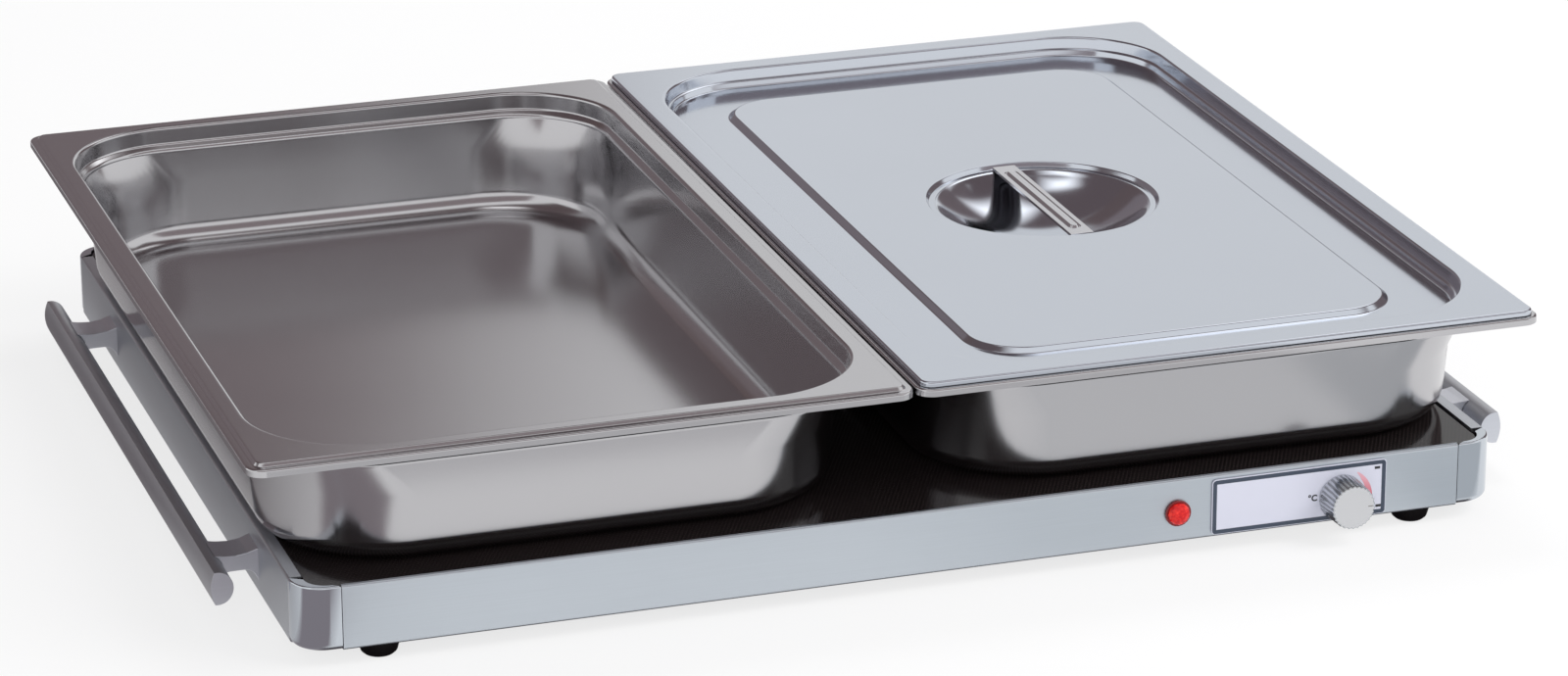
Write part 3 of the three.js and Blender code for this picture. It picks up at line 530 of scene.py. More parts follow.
def raiseInk(thickness):
    modify("SOLIDIFY", thickness=thickness * mm, offset=1)


def softEdges(width, steps=2, angle=40):
    modify("BEVEL", width=width * mm, segments=steps, limit_method="ANGLE", angle_limit=math.radians(angle))


def paintFaces(piece, names, choose):
    # several finishes on one piece; choose gives the number of a face's own
    putDown()
    for name in names:
        piece.data.materials.append(finishes[name].material)
    for face in piece.data.polygons:
        face.material_index = choose(face)


def finishPiece(piece, body, finish, replaced=(), place=(0, 0, 0), turn=(0, 0, 0), crease=32):
    # sets the place into the mesh, shades it and hangs it on its body
    takeUp(piece)
    piece.location = metres(place)
    piece.rotation_euler = [math.radians(angle) for angle in turn]
    settle()
    if not piece.data.materials:
        piece.data.materials.append(finish.material)
    bpy.ops.object.shade_smooth_by_angle(angle=math.radians(crease))
    modify("WEIGHTED_NORMAL", keep_sharp=True)
    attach(piece, body)
    if replaced:
        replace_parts(piece, *replaced)
    return piece


def copyPiece(piece, name, body, replaced=(), shift=(0, 0, 0), scale=(1, 1, 1), pivot=(0, 0, 0)):
    # a copy with its own mesh, moved or mirrored about a point
    takeUp(piece)
    bpy.ops.object.duplicate(linked=False)
    twin = bpy.context.object
    twin.name = twin.data.name = name
    twin.parent = None
    twin.pop("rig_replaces", None)  # it stands for its own nodes only
    about = metres(pivot)
    there = Matrix.Translation(metres(shift) + about)
    twin.matrix_world = there @ Matrix.Diagonal((*scale, 1)) @ Matrix.Translation(-about)
    settle()
    if math.prod(scale) < 0:
        openAgain(twin)
        turnOutwards()
    return finishPiece(twin, body, None, replaced)


def nodeName(start, words):
    # FrontLeft becomes front_left
    return start + words.replace("Left", "_left").replace("Right", "_right").lower()


# Pressed sheets: a section is a row of corners (inwards, height, fold radius) from the rim's outline and top

pans = {
    "long": 530,
    "wide": 325,
    "top": 104.8,
    "sheet": 1.0,
    "left": (-163, 7.8, 0),
    "right": (163, 7.8, 0),
    "rimCorner": 9,
    "rim": [(0, -5.5, 0), (0, -1.8, 1.2), (3.8, -1.8, 0.8), (5.2, 0, 0.8), (6.6, 0, 0)],
    "wellCorner": 58.5,
    "well": [(11.0, 0, 0), (13.6, 0, 1.9), (14.5, -9.5, 2.0), (17.5, -12, 3.0), (17.7, -14, 0)],
    "basinCorner": 65,  # the corners get rounder below the shoulder
    "basin": [(18.8, -30, 0), (21.4, -64, 11.5), (46, -64, 0)],
    "cornerSteps": 23,
    "foldSteps": 5,
}


def softenFolds(section, steps):
    # every fold becomes a short arc
    path = [Vector(section[0][:2])]
    for before, fold, after in zip(section, section[1:], section[2:]):
        corner = Vector(fold[:2])
        coming = (corner - Vector(before[:2])).normalized()
        going = (Vector(after[:2]) - corner).normalized()
        turn = math.atan2(coming.x * going.y - coming.y * going.x, coming.dot(going))
        start = corner - coming * fold[2] * math.tan(abs(turn) / 2)
        sideways = Vector((-coming.y, coming.x)) * math.copysign(fold[2], turn)
        for step in range(steps + 1):
            path.append(start + sideways + Matrix.Rotation(turn * step / steps, 2) @ -sideways)
    path.append(Vector(section[-1][:2]))
    return path


def pressAlong(path):
    # takes the picked outline inwards and up or down
    for here, there in zip(path, path[1:]):
        inset(max(0, there.x - here.x), there.y - here.y)


def pressOutline(section, corner):
    # the picked sheet becomes a rounded outline, carried along its section; its last face stays picked
    start, height = section[0][:2]
    stretch((pans["wide"] - 2 * start) * mm, (pans["long"] - 2 * start) * mm)
    moveBy(0, 0, pans["top"] + height)
    roundCorners(corner, pans["cornerSteps"])
    pressAlong(softenFolds(section, pans["foldSteps"]))


def joinOutlines(*heights):
    # a web between two open outlines, at one height or at two
    def isOpen(edge):
        return edge.is_boundary and any(
            all(abs(middle(vert).z - pans["top"] - height) < hair for vert in edge.verts) for height in heights
        )

    pick("EDGE", isOpen)
    bpy.ops.mesh.bridge_edge_loops()


def makePans():
    pan = startPiece("pressedPanLeft", bpy.ops.mesh.primitive_plane_add, size=1)
    for part in ("rim", "well"):
        pressOutline(pans[part], pans[part + "Corner"])
        removePicked("ONLY_FACE")
        nextSheet()
    pressOutline(pans["basin"], pans["basinCorner"])
    joinOutlines(0)
    joinOutlines(pans["well"][-1][1], pans["basin"][0][1])
    giveWall(pans["sheet"])
    finishPiece(pan, "left_pan", finishes["pan"], ["left_pan"], pans["left"])
    shift = [there - here for here, there in zip(pans["left"], pans["right"])]
    copyPiece(pan, "pressedPanRight", "right_pan", ["right_pan"], shift)


makePans()
print("pans pressed")

lid = {
    "sheet": 0.8,
    "rimCorner": 6.4,
    "rim": [(2.6, -1.5, 0), (2.6, 1.1, 1.2), (7.0, 1.1, 0)],
    "wallCorner": 57.4,
    "wall": [
        (14.6, 1.1, 0), (16.9, 1.1, 1.5), (18.2, -5.2, 0.8), (19.5, -5.8, 0.9), (20.65, -9, 1.1), (28, -9, 0),
    ],
    "panelCorner": 32,
    "panel": [(48, -9, 0), (50, -9, 1.6), (53, -6.4, 1.6), (56, -6.4, 0)],
    "bowlRim": 64,
    "bowl": [(0, -6.4, 0), (2.7, -6.4, 0.9), (4.2, -8.8, 0.6), (7.4, -8.8, 0.8), (8.8, -10.5, 0)],
    "bowlSeat": 56,
    "bowlSphere": 86,
    "bowlSteps": 18,
}


def bowlCurve():
    # the rest of the bowl, from its seat down to the middle
    rim, sphere = lid["bowlRim"], lid["bowlSphere"]
    centre = lid["bowl"][2][1] + math.sqrt(sphere**2 - lid["bowlSeat"] ** 2)
    first = math.asin((rim - lid["bowl"][-1][0]) / sphere)
    angles = [first * (1 - step / lid["bowlSteps"]) for step in range(lid["bowlSteps"])]
    return [Vector((rim - sphere * math.sin(angle), centre - sphere * math.cos(angle))) for angle in angles]


def makeLid():
    cover = startPiece("pressedLid", bpy.ops.mesh.primitive_plane_add, size=1)
    for part in ("rim", "wall", "panel"):
        if part != "rim":
            nextSheet()
        pressOutline(lid[part], lid[part + "Corner"])
        removePicked("ONLY_FACE")
    bpy.ops.mesh.select_all(action="DESELECT")
    bpy.ops.mesh.primitive_circle_add(
        vertices=4 * (pans["cornerSteps"] + 1),
        radius=lid["bowlRim"] * mm,
        fill_type="NGON",
        location=(0, 0, (pans["top"] + lid["bowl"][0][1]) * mm),
    )
    path = softenFolds(lid["bowl"], pans["foldSteps"])
    pressAlong(path[:-1] + bowlCurve())
    for outline in ("wall", "panel", "bowl"):
        joinOutlines(lid[outline][0][1])
    giveWall(lid["sheet"])
    finishPiece(cover, "lid", finishes["lid"], ["lid"], pans["right"])


makeLid()
print("lid pressed")

grip = {
    "wide": 12.5,
    "long": 117.2,
    "thick": 1.5,
    "edge": 0.25,
    "place": (163, 7.8, 97.8),
    "grooveInset": 2.5,  # from the strip's edge to the groove
    "endInset": 9,  # the groove's ends lie further in
    "grooveCorner": 3.4,
    "groove": [(0, 0, 0), (0.5, -0.55, 0.2), (1.0, -0.55, 0.2), (1.9, 0.9, 0.4), (3.4, 0.9, 0)],
}


def makeGrip():
    strip = startSheet("gripStrip", grip["wide"], grip["long"])
    inset(grip["grooveInset"])
    ends = 1 - 2 * (grip["endInset"] - grip["grooveInset"]) / (grip["long"] - 2 * grip["grooveInset"])
    stretch(1, ends)
    pick("VERT", lambda vert: abs(middle(vert).x) < grip["wide"] / 2 - near)
    roundCorners(grip["grooveCorner"], 8)
    pick("FACE", lambda face: middle(face).length < near)
    pressAlong(softenFolds(grip["groove"], 3))
    giveWall(grip["thick"])
    softEdges(grip["edge"], 2, 60)
    # faces looking down take the painted shade
    paintFaces(strip, ("grip", "gripUnder"), lambda face: int(face.normal.z < -0.5))
    finishPiece(strip, "lid", None, ["lid_handle"], grip["place"])


makeGrip()

knob = {
    "middle": (220.5, -257.0, 21.05),
    "length": 15.75,
    "footRadius": 11.75,
    "faceRadius": 11.3,
    "flutes": 30,
    "facets": 4,  # of each flute
    "collar": 0.8,  # plain ring against the panel
    "nose": 1.7,  # the flutes deepen from the collar up to here, this far behind the face
    "cuts": [((0, 1, 3), 0.341), ((0,), 0.279)],  # which of a flute's four lines go in, and how far
    "edge": 0.6,
    "faceRing": 0.3,  # narrow ring round the flat face
    "groove": (0.2, 0.7),  # part of a flute painted darker as shade in its groove: half its share, and its distance from the face
    "pointer": (7.4, 9.9, 0.5),  # the mark on the face: from, to and width
    "pointerCorner": 0.2,
    "pointerInk": (0.05, 0.01),  # thickness, and how far it is sunk into the face
}


def makeKnob():
    # turned along +Z first, then laid so that its face looks to the front
    long, foot, around = knob["length"], knob["footRadius"], knob["flutes"] * knob["facets"]
    body = startRod("thermostatKnob", around, foot, long, long / 2)
    pick("FACE", facing(0, 0, 1))
    stretch(knob["faceRadius"] / foot, knob["faceRadius"] / foot)
    for height in (knob["collar"], long - knob["nose"]):
        pickAll()
        bpy.ops.mesh.bisect(plane_co=(0, 0, height * mm), plane_no=(0, 0, 1))

    def turnOf(place, steps):
        return math.atan2(place.y, place.x) / (2 * math.pi / steps)

    def inFlute(lines):
        def test(vert):
            line = round(turnOf(vert.co, around)) % knob["facets"]
            return line in lines and middle(vert).z > knob["collar"] + near

        return test

    for lines, depth in knob["cuts"]:
        pick("VERT", inFlute(lines))
        stretch(1 - depth / foot, 1 - depth / foot)
    pick("FACE", facing(0, 0, 1))
    bpy.ops.mesh.region_to_loop()
    roundPicked(knob["edge"], 3)
    pick("FACE", facing(0, 0, 1, 0.98))
    inset(knob["faceRing"])

    def finishOf(face):
        # the face, the grooves of the flutes in painted shade, or what is left of the side
        if face.normal.z > 0.98:
            return 1
        turn, height = turnOf(face.center, knob["flutes"]), face.center.z / mm
        half, end = knob["groove"]
        return 2 if abs(turn - round(turn)) < half and knob["collar"] < height < long - end else 0

    paintFaces(body, ("knobSide", "knobFace", "knobGroovePaintedShade"), finishOf)
    finishPiece(body, "knob", None, ["knob"], knob["middle"], (90, 0, 0), 40)


def makePointer():
    # a thin dark line on the face, pointing at the dial
    x, y, z = knob["middle"]
    start, end, wide = knob["pointer"]
    thick, sunk = knob["pointerInk"]
    line = startSheet("knobPointer", end - start, wide, knob["pointerCorner"], 3)
    raiseInk(thick)
    place = (x + (start + end) / 2, y - knob["length"] + sunk, z)
    finishPiece(line, "knob", finishes["pointerInk"], (), place, (90, 0, 0))


makeKnob()
makePointer()

lamp = {
    "middle": (134.4, -256.95, 23.2),
    "radius": 5.6,
    "facets": 12,
    "skirt": (0.02, 0.9),
    "dome": [(0.75, 1.3), (2.1, 1.0), (2.6, 0.3)],  # rings of facets: inwards and up
}


def makeLens():
    size = {"vertices": lamp["facets"], "radius": lamp["radius"] * mm, "fill_type": "NGON"}
    lens = startPiece("pilotLens", bpy.ops.mesh.primitive_circle_add, **size)
    inset(*lamp["skirt"])
    for ring in lamp["dome"]:
        inset(*ring)
        # each ring is turned by half a facet
        bpy.ops.transform.rotate(value=math.pi / lamp["facets"], orient_axis="Z", center_override=(0, 0, 0))
        pick("FACE", lambda face: len(face.verts) == lamp["facets"] and face.normal.z > 0.9)
    bpy.ops.mesh.poke()
    pickAll()
    bpy.ops.mesh.quads_convert_to_tris()
    pick("EDGE", lambda edge: edge.is_boundary)
    bpy.ops.mesh.edge_face_add()  # the flat back closes the dome
    turnOutwards()
    finishPiece(lens, "base", finishes["lens"], ["lamp_lens"], lamp["middle"], (90, 0, 0), 12)


makeLens()

foot = {
    "top": 7.7,
    "radius": 10.4,
    "toeRadius": 8.7,
    "treadRadius": 6.9,
    "tread": 1.6,
    "recess": (3.6, 4.0),  # radius and depth of the screw's recess
    "edge": 0.35,
    "facets": 48,
    "places": {
        "FrontLeft": (-263.6, -243.4),
        "FrontRight": (263.6, -243.4),
        "RearLeft": (-263.6, 248.6),
        "RearRight": (263.6, 248.6),
    },
}
screw = {
    "radius": 3.0,
    "long": 1.4,
    "middle": 3.3,
    "facets": 32,
    "head": [(0.9, 0.5), (0.8, 0), (0.2, -1.0)],  # rings of the head: inwards, and out of it or into its recess
}


def makeFeet():
    low, high = foot["tread"], foot["top"]
    pad = startRod("rubberFootFrontLeft", foot["facets"], foot["radius"], high - low, (high + low) / 2)
    pick("FACE", facing(0, 0, -1))
    stretch(foot["toeRadius"] / foot["radius"], foot["toeRadius"] / foot["radius"])
    inset(foot["toeRadius"] - foot["treadRadius"], foot["tread"])
    inset(foot["treadRadius"] - foot["recess"][0])
    inset(0, -foot["recess"][1])
    softEdges(foot["edge"], 3, 30)
    x, y = foot["places"]["FrontLeft"]
    finishPiece(pad, "base", finishes["foot"], ["foot_front_left"], (x, y, 0))

    bolt = startRod("footScrewFrontLeft", screw["facets"], screw["radius"], screw["long"], screw["middle"])
    pick("FACE", facing(0, 0, -1))
    for step in screw["head"]:
        inset(*step)
    finishPiece(bolt, "base", finishes["screw"], (), (x, y, 0))
    for words in ("FrontRight", "RearLeft", "RearRight"):
        otherX, otherY = foot["places"][words]
        shift = (otherX - x, otherY - y, 0)
        copyPiece(pad, "rubberFoot" + words, "base", [nodeName("foot_", words)], shift)
        copyPiece(bolt, "footScrew" + words, "base", (), shift)


makeFeet()
print("grip, knob, lamp and feet made")

rails = {  # the ends are along the rail itself; a side rail is laid from the back to the front
    "low": 8.0,
    "high": 40.7,
    "ledgeTop": 33.9,
    "footEdge": 1.5,
    "lipEdge": 0.3,
    "middle": (0, 2.6, 0),  # of the frame, for what is mirrored from front to rear
    "front": {
        "ends": (-283.35, 283.35), "face": -255.4,
        "flange": 2.1, "lip": 22.0, "ledge": 13.1, "wall": 0.9, "edge": 1.7,
    },
    "side": {
        "ends": (-243.25, 238.05), "face": -305.0,
        "flange": 6.6, "lip": 20.0, "ledge": 12.4, "wall": 1.8, "edge": 1.2,
    },
}


def foldRail(name, shape):
    # a bent section: bottom lip, wall, top flange, inner lip and the ledge under the glass, along X
    start, end = shape["ends"]
    low, high = rails["low"], rails["high"]
    rail = startSheet(name, end - start, shape["lip"])
    moveBy((start + end) / 2, shape["lip"] / 2, low)
    pick("EDGE", lambda edge: middle(edge).y < near)
    extrudeBy(0, 0, high - low)
    extrudeBy(0, shape["flange"], 0)
    extrudeBy(0, 0, rails["ledgeTop"] - high)
    extrudeBy(0, shape["ledge"], 0)
    pickAll()
    sheet = bmesh.from_edit_mesh(rail.data)
    if any(face.normal.y > 0.9 and middle(face).y < near for face in sheet.faces):
        bpy.ops.mesh.flip_normals()
    pick("EDGE", lambda edge: middle(edge).y < near and middle(edge).z > high - near)
    roundPicked(shape["edge"], 5)
    pick("EDGE", lambda edge: middle(edge).y < near and middle(edge).z < low + near)
    roundPicked(rails["footEdge"])
    giveWall(shape["wall"])
    softEdges(rails["lipEdge"], 2, 50)
    return rail


def makeRails():
    front = foldRail("frontRail", rails["front"])
    place = (0, rails["front"]["face"], 0)
    finishPiece(front, "base", finishes["railAlongX"], ["front_rail"], place)
    copyPiece(front, "rearRail", "base", ["rear_rail"], scale=(1, -1, 1), pivot=rails["middle"])
    side = foldRail("leftRail", rails["side"])
    place = (rails["side"]["face"], 0, 0)
    finishPiece(side, "base", finishes["railAlongY"], ["left_rail"], place, (0, 0, -90))
    copyPiece(side, "rightRail", "base", ["right_rail"], scale=(-1, 1, 1))


makeRails()

corner = {
    "legX": 21.35,  # along the front
    "legY": 17.35,  # along the side
    "outer": 16,
    "inner": 11,
    "steps": 18,
    "flangeX": 6.6,
    "flangeY": 2.1,
    "wall": 1.0,
    "topEdge": 1.1,
    "footEdge": 3.6,  # the casting is rounded underneath
    "lipEdge": 0.3,
}


def makeCorners():
    # modelled at the front left, with its outer corner at the origin
    low, high, ledge = rails["low"], rails["high"], rails["ledgeTop"]
    legX, legY = corner["legX"], corner["legY"]
    flangeX, flangeY = corner["flangeX"], corner["flangeY"]
    casting = startSheet("cornerFrontLeft", legX, legY)
    moveBy(legX / 2, legY / 2, low)
    pick("VERT", lambda vert: middle(vert).xy.length < near)
    roundCorners(corner["outer"], corner["steps"])
    pickAll()
    bpy.ops.mesh.select_mode(type="FACE")
    extrudeBy(0, 0, high - low)
    removePicked("ONLY_FACE")
    pick("FACE", lambda face: max(face.normal.xy) > 0.99)
    removePicked("ONLY_FACE")

    nextSheet()
    stretch((legX - flangeX) * mm, (legY - flangeY) * mm)
    moveBy((legX + flangeX) / 2, (legY + flangeY) / 2, high)
    pick("VERT", lambda vert: (middle(vert).xy - Vector((flangeX, flangeY))).length < near)
    roundCorners(corner["inner"], corner["steps"])
    extrudeBy(0, 0, ledge - high)
    removePicked()

    def isSpare(face):
        # the top of the outer block, and the inner lip's two sides towards the rails
        spot = middle(face)
        atRail = (abs(face.normal.x) > 0.99 and spot.x > legX - near) or (
            abs(face.normal.y) > 0.99 and spot.y > legY - near
        )
        return spot.z > high - near or atRail

    pick("FACE", isSpare)
    removePicked()
    pick("FACE", lambda face: middle(face).z > ledge)  # the inner lip looks towards the glass
    bpy.ops.mesh.flip_normals()
    pick("EDGE", lambda edge: edge.is_boundary and all(middle(vert).z > high - hair for vert in edge.verts))
    bpy.ops.mesh.bridge_edge_loops()

    def isOuter(vert):
        spot, radius = middle(vert).xy, corner["outer"]
        inward = spot - Vector((radius, radius))
        return min(spot) < hair or (max(inward) < 0 and inward.length > radius - near)

    def isOuterEdge(height):
        return lambda edge: all(abs(middle(vert).z - height) < hair and isOuter(vert) for vert in edge.verts)

    for height, width in ((high, corner["topEdge"]), (low, corner["footEdge"])):
        pick("EDGE", isOuterEdge(height))
        roundPicked(width, 5)
    giveWall(corner["wall"])
    softEdges(corner["lipEdge"], 3, 50)
    place = (rails["side"]["face"], rails["front"]["face"], 0)
    finishPiece(casting, "base", finishes["corner"], ["corner_front_left"], place)
    mirrors = {"FrontRight": (-1, 1, 1), "RearLeft": (1, -1, 1), "RearRight": (-1, -1, 1)}
    for words, scale in mirrors.items():
        node = nodeName("corner_", words)
        copyPiece(casting, "corner" + words, "base", [node], scale=scale, pivot=rails["middle"])


makeCorners()

bar = {
    "finger": 7.7,  # depth of the rounded side towards the rail
    "half": 8.25,  # half its height
    "flank": 1.4,
    "crest": 3.3,  # the outer side bulges this far
    "long": 404,
    "middle": (330.0, 2.6, 23.2),
    "facets": 64,
    "edge": 0.45,
}


def makeBars():
    # a D section, flat side outwards, lying along +Y
    finger, half, flank = bar["finger"], bar["half"], bar["flank"]
    handle = startRod("handleBarRight", bar["facets"], half, bar["long"], lying=True)
    stretch(finger / half, 1)

    def onColumn(across, height):
        # the two lines at this distance, one above and one below
        def test(vert):
            spot = middle(vert)
            return abs(spot.x - across) < hair and abs(abs(spot.z) - height) < hair

        return test

    for step in range(bar["facets"] // 4):
        turn = 2 * math.pi / bar["facets"] * step
        across, height = finger * math.cos(turn), half * math.sin(turn)
        pick("VERT", onColumn(across, height))
        moveBy(flank + (bar["crest"] - flank) * math.cos(turn) ** 2 - across, 0, 0)
    softEdges(bar["edge"], 3, 40)
    # the end faces take the lighter tone, painted light
    paintFaces(handle, ("bar", "barEnd"), lambda face: int(abs(face.normal.y) > 0.9))
    finishPiece(handle, "base", None, ["right_handle_bar"], bar["middle"])
    copyPiece(handle, "handleBarLeft", "base", ["left_handle_bar"], scale=(-1, 1, 1))


post = {
    "footEnd": 305.4,  # points nearer the middle than this stand against the rail
    "closer": 0.3,  # and come this much closer to it
    "free": (305.2, 322),  # the post can be touched between the rail and the bar
    "sharp": 0.6,  # radians
    "edge": 0.5,
}


def makePosts():
    # the flared posts keep their CAD form, with their edges broken
    free = post["free"]

    def isOpenToTouch(edge):
        atEnds = all(not free[0] < abs(middle(vert).x) < free[1] for vert in edge.verts)
        return len(edge.link_faces) == 2 and edge.calc_face_angle(0) > post["sharp"] and not atEnds

    for side, inwards in (("left", 1), ("right", -1)):
        for end in ("front", "rear"):
            node = f"{side}_handle_post_{end}"
            putDown()
            mesh = frame["nodes"][node].data.copy()
            piece = bpy.data.objects.new("handlePost" + end.title() + side.title(), mesh)
            bpy.context.collection.objects.link(piece)
            openAgain(piece)
            pickAll()
            bpy.ops.mesh.remove_doubles(threshold=hair * mm)
            bpy.ops.mesh.dissolve_limited(angle_limit=math.radians(1))
            pick("VERT", lambda vert: abs(middle(vert).x) < post["footEnd"])
            moveBy(post["closer"] * inwards, 0, 0)
            pick("EDGE", isOpenToTouch)
            roundPicked(post["edge"], 3)
            mesh.materials.clear()
            finishPiece(piece, "base", finishes["post"], [node])


makeBars()
makePosts()

glass = {"low": 35.5, "high": 39.5, "x": 297.9, "front": -253.0, "rear": 258.2, "corner": 10.5, "arris": 0.7}


def makeGlass():
    front, rear = glass["front"], glass["rear"]
    plate = startSheet("hotGlass", 2 * glass["x"], rear - front, glass["corner"], 8)
    extrudeBy(0, 0, glass["high"] - glass["low"])
    bpy.ops.mesh.region_to_loop()
    roundPicked(glass["arris"], 3)
    place = (0, (front + rear) / 2, glass["low"])
    finishPiece(plate, "base", finishes["glass"], ["glass_plate"], place)


makeGlass()

panel = {
    "wide": 92.4,
    "tall": 28.7,
    "thick": 0.8,
    "corner": 2.2,
    "edge": 0.2,
    "place": (198.3, -255.7, 23.8),
    "border": 2.1,
    "borderInset": 0.35,
    "ink": 0.05,  # how far the print stands up
    "degree": {"x": 202.9, "z": 20.6, "size": 4.5, "bolder": 0.16},
    "dashes": {"A": (239.6, 34.0), "B": (240.6, 13.8)},
    "dash": (2.9, 1.35, 0.12),  # width, height and corner radius
}
arc = {  # a band round the knob, in degrees and radii
    "from": -4,
    "to": 54,
    "step": 2,
    "reach": 0.5,  # how far from a step still counts as on it
    "inner": (13.2, 14.2),
    "outer": (16.6, 14.8),
    "bend": 35,  # from here on the inner side goes out as well
}


def fromPanel(x, z):
    # a place on the front of the base, measured from the plate's middle
    return x - panel["place"][0], z - panel["place"][2], 0


def printOnPanel(mark, finish):
    # lays a flat mark on the plate's face
    x, y, z = panel["place"]
    finishPiece(mark, "base", finish, (), (x, y - panel["thick"], z), (90, 0, 0))


def makePlate():
    plate = startSheet("controlPlate", panel["wide"], panel["tall"], panel["corner"], 6)
    extrudeBy(0, 0, panel["thick"])
    bpy.ops.mesh.region_to_loop()
    roundPicked(panel["edge"], 2)
    place = panel["place"]
    finishPiece(plate, "base", finishes["plate"], ["control_panel"], place, (90, 0, 0))


def printBorder():
    margin = panel["borderInset"]
    wide, tall = panel["wide"] - 2 * margin, panel["tall"] - 2 * margin
    border = startSheet("panelBorder", wide, tall, panel["corner"] - margin, 6)
    inset(panel["border"])
    removePicked()
    raiseInk(panel["ink"])
    printOnPanel(border, finishes["ink"])


def printDashes():
    wide, tall, radius = panel["dash"]
    for letter, (x, z) in panel["dashes"].items():
        dash = startSheet("panelDash" + letter, wide, tall, radius, 2)
        moveBy(*fromPanel(x, z))
        raiseInk(panel["ink"])
        printOnPanel(dash, finishes["blackInk"])


def printArc():
    first, last = arc["from"], arc["to"]
    inner, outer = arc["inner"], arc["outer"]
    size = {"vertices": 360 // arc["step"], "radius": inner[0] * mm}
    band = startPiece("panelArc", bpy.ops.mesh.primitive_circle_add, **size)

    def turnOf(vert):
        return math.degrees(math.atan2(vert.co.y, vert.co.x))

    pick("VERT", lambda vert: not first - arc["reach"] < turnOf(vert) < last + arc["reach"])
    removePicked("VERT")
    pickAll()
    extrudeBy(0, 0, 0)
    stretch(outer[0] / inner[0], outer[0] / inner[0])
    between = (inner[0] + outer[0]) / 2

    def onStep(turn, inside):
        def test(vert):
            return abs(turnOf(vert) - turn) < arc["reach"] and (middle(vert).length < between) == inside

        return test

    # the band narrows towards its upper end
    for turn in range(arc["step"], last + 1, arc["step"]):
        late = max(0, (turn - arc["bend"]) / (last - arc["bend"]))
        for inside, share, (low, high) in ((True, late, inner), (False, turn / last, outer)):
            pick("VERT", onStep(turn, inside))
            change = 1 + (high / low - 1) * share
            stretch(change, change)
    pickAll()
    moveBy(*fromPanel(knob["middle"][0], knob["middle"][2]))
    sheet = bmesh.from_edit_mesh(band.data)
    sheet.normal_update()
    if next(iter(sheet.faces)).normal.z < 0:
        bpy.ops.mesh.flip_normals()
    raiseInk(panel["ink"])
    printOnPanel(band, finishes["redInk"])


def printDegree():
    degree = panel["degree"]
    putDown()
    bpy.ops.object.text_add(location=(0, 0, 0))
    words = bpy.context.object
    words.name = "panelDegree"
    words.data.body = "\u00b0C"
    words.data.size = degree["size"] * mm
    words.data.extrude = panel["ink"] / 2 * mm
    words.data.offset = degree["bolder"] * mm
    bpy.ops.object.convert(target="MESH")
    words.data.transform(Matrix.Translation(metres(fromPanel(degree["x"], degree["z"]))))
    printOnPanel(words, finishes["blackInk"])


makePlate()
printBorder()
printDashes()
printArc()
printDegree()
print("rails, corners, handles, glass and panel made")

studio = {
    "floorSize": 7.0,
    "floorTone": (0.88, 0.88, 0.885),
    "floorShade": 0.24,  # how much of the floor's own shading the camera sees
    "skyTone": (0.45, 0.45, 0.46),
    "white": (1, 1, 1),
}
lamps = {  # place, size, watts, tint; each looks at the middle of the tray
    "keyRight": ((2.0, -1.3, 2.2), (2.0, 2.0), 60, (1.0, 0.99, 0.98)),
    "fillFront": ((-0.9, -3.2, 1.4), (2.2, 1.4), 34, (0.97, 0.98, 1.0)),
    "topBack": ((0.45, 1.0, 1.9), (0.7, 0.7), 14, (1.0, 1.0, 1.0)),
}
cards = {  # place, size, turn, fading share of each side, tone; only bright metal and glass see them
    "ceilingCard": ((-0.50, 1.35, 2.6), (6.8, 3.9), (0, 0, 0), (0.06, 0.12), (0.15, 0.115, 0.12)),
    "overheadLight": ((-0.15, 0.38, 2.5), (1.2, 0.62), (0, 0, -25), (0.42, 0.42), (2.0, 2.0, 2.0)),
    "backLeftCard": ((-0.95, 2.6, 0.65), (3.8, 1.7), (90, 0, 12), (0.15, 0.10), (0.24, 0.20, 0.21)),
    "upperLeftCard": ((-1.02, 2.75, 1.85), (3.5, 1.6), (90, 0, 12), (0.09, 0.05), (0.155, 0.115, 0.115)),
    "backRightCard": ((2.6, 3.3, 1.3), (5.2, 2.9), (90, 0, 0), (0.04, 0.08), (0.85, 0.855, 0.86)),
    "rightCard": ((3.1, 1.75, 1.7), (2.8, 3.6), (90, 0, -60), (0.10, 0.06), (0.19, 0.15, 0.155)),
    "softboxRight": ((1.13, 1.03, 1.70), (0.90, 1.55), (140, 0, -45), (0.42, 0.34), (2.3, 2.3, 2.3)),
    # the floor cards here and below are painted shadow and shade of the object on the floor, seen only in metal
    # and glass
    "leftFloorCard": ((-0.61, 0.295, 0.0005), (0.66, 1.31), (0, 0, 0), (0.095, 0.275), (0.20, 0.18, 0.19)),
    "cornerFloorCard": ((-0.371, -0.327, 0.0008), (0.20, 0.165), (0, 0, 18), (0.05, 0.10), (0.31, 0.275, 0.295)),
    "frontFloorPaintedShade": ((0.01, -0.776, 0.0006), (0.62, 0.80), (0, 0, 0), (0.03, 0.012), (0.71, 0.71, 0.72)),
    "rightFrontFloorPaintedShade": ((0.17, -0.36, 0.0007), (0.36, 0.20), (0, 0, 0), (0.25, 0.10), (0.80, 0.81, 0.82)),
    "rightFloorPaintedShadow": ((0.337, -0.345, 0.0009), (0.14, 0.17), (0, 0, 0), (0.12, 0.10), (0.60, 0.62, 0.64)),
    "frontCard": ((0, -3.6, 3.95), (10, 4.5), (90, 0, 0), (0.05, 0.08), (0.34, 0.29, 0.30)),
    "underPaintedShadow": ((0, 0.0026, 0.0004), (0.60, 0.53), (0, 0, 0), (0.01, 0.01), (0.10, 0.09, 0.10)),
}


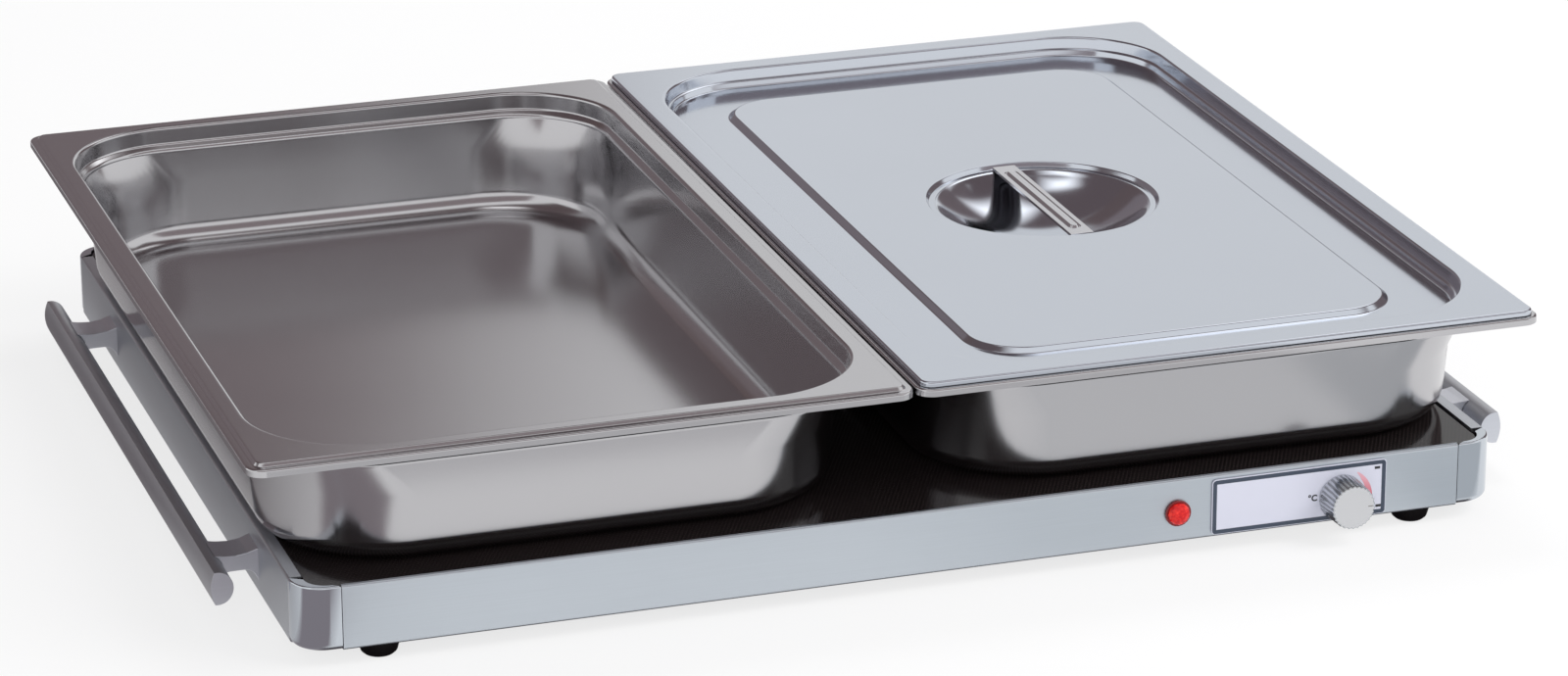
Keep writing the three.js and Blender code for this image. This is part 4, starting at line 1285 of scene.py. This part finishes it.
def makeCards():
    for name, (place, size, turn, fades, tone) in cards.items():
        putDown()
        bpy.ops.mesh.primitive_plane_add(size=1, location=place, rotation=[math.radians(angle) for angle in turn])
        card = bpy.context.object
        card.name = name
        card.scale = (*size, 1)
        card.visible_camera = card.visible_diffuse = card.visible_shadow = card.visible_transmission = False
        paper = Finish(name + "Paper")
        spot = paper.placeAlong("X")
        clear = [
            paper.ramp(paper.maths("ABSOLUTE", way), 0.5 - fade, 0.5)
            for way, fade in zip((spot, spot.beside("Y")), fades)
        ]
        edges = paper.maths("MAXIMUM", *clear)
        paper.surface(paper.mixShaders(edges, paper.glow((*tone, 1)), paper.node("BsdfTransparent")))
        card.data.materials.append(paper.material)


def directRay(nodes):
    # 1 for what the camera sees, also in metal or through glass
    seen = nodes.node("LightPath", {}, {}, "Is Camera Ray")
    return seen + seen.beside("Is Glossy Ray") + seen.beside("Is Transmission Ray")


def makeFloor():
    putDown()
    bpy.ops.mesh.primitive_plane_add(size=studio["floorSize"], location=(0, 0, 0))
    ground = bpy.context.object
    ground.name = "studioFloor"
    pale = Finish("studioFloorPaint", baseColor=shaded(studio["floorTone"]), roughness=0.6, specularIORLevel=0.1)
    plain = Wire(pale, pale.shader.outputs[0])
    # the camera, metal and glass see a paler floor, with the object's shadow still on it
    lifted = pale.mixShaders(studio["floorShade"], pale.glow(shaded(studio["white"])), plain)
    pale.surface(pale.mixShaders(directRay(pale), plain, lifted))
    ground.data.materials.append(pale.material)


def hangLamps():
    for name, (place, size, watts, tint) in lamps.items():
        bpy.ops.object.light_add(type="AREA", location=place)
        light = bpy.context.object
        light.name = name
        light.data.shape = "RECTANGLE"
        light.data.size, light.data.size_y = size
        light.data.energy = watts
        light.data.color = tint
        light.visible_glossy = False
        light.rotation_euler = (-Vector(place)).to_track_quat("-Z", "Y").to_euler()


def setUpWorld():
    world = bpy.data.worlds.new("studioWhite")
    bpy.context.scene.world = world
    sky = Nodes(world)
    colour = sky.blend(directRay(sky), shaded(studio["skyTone"]), shaded(studio["white"]))
    sky.join(colour, sky.tree.nodes["Background"].inputs["Color"])
    bpy.context.scene.view_settings.view_transform = "Standard"


makeCards()
makeFloor()
hangLamps()
setUpWorld()
print("studio lit")
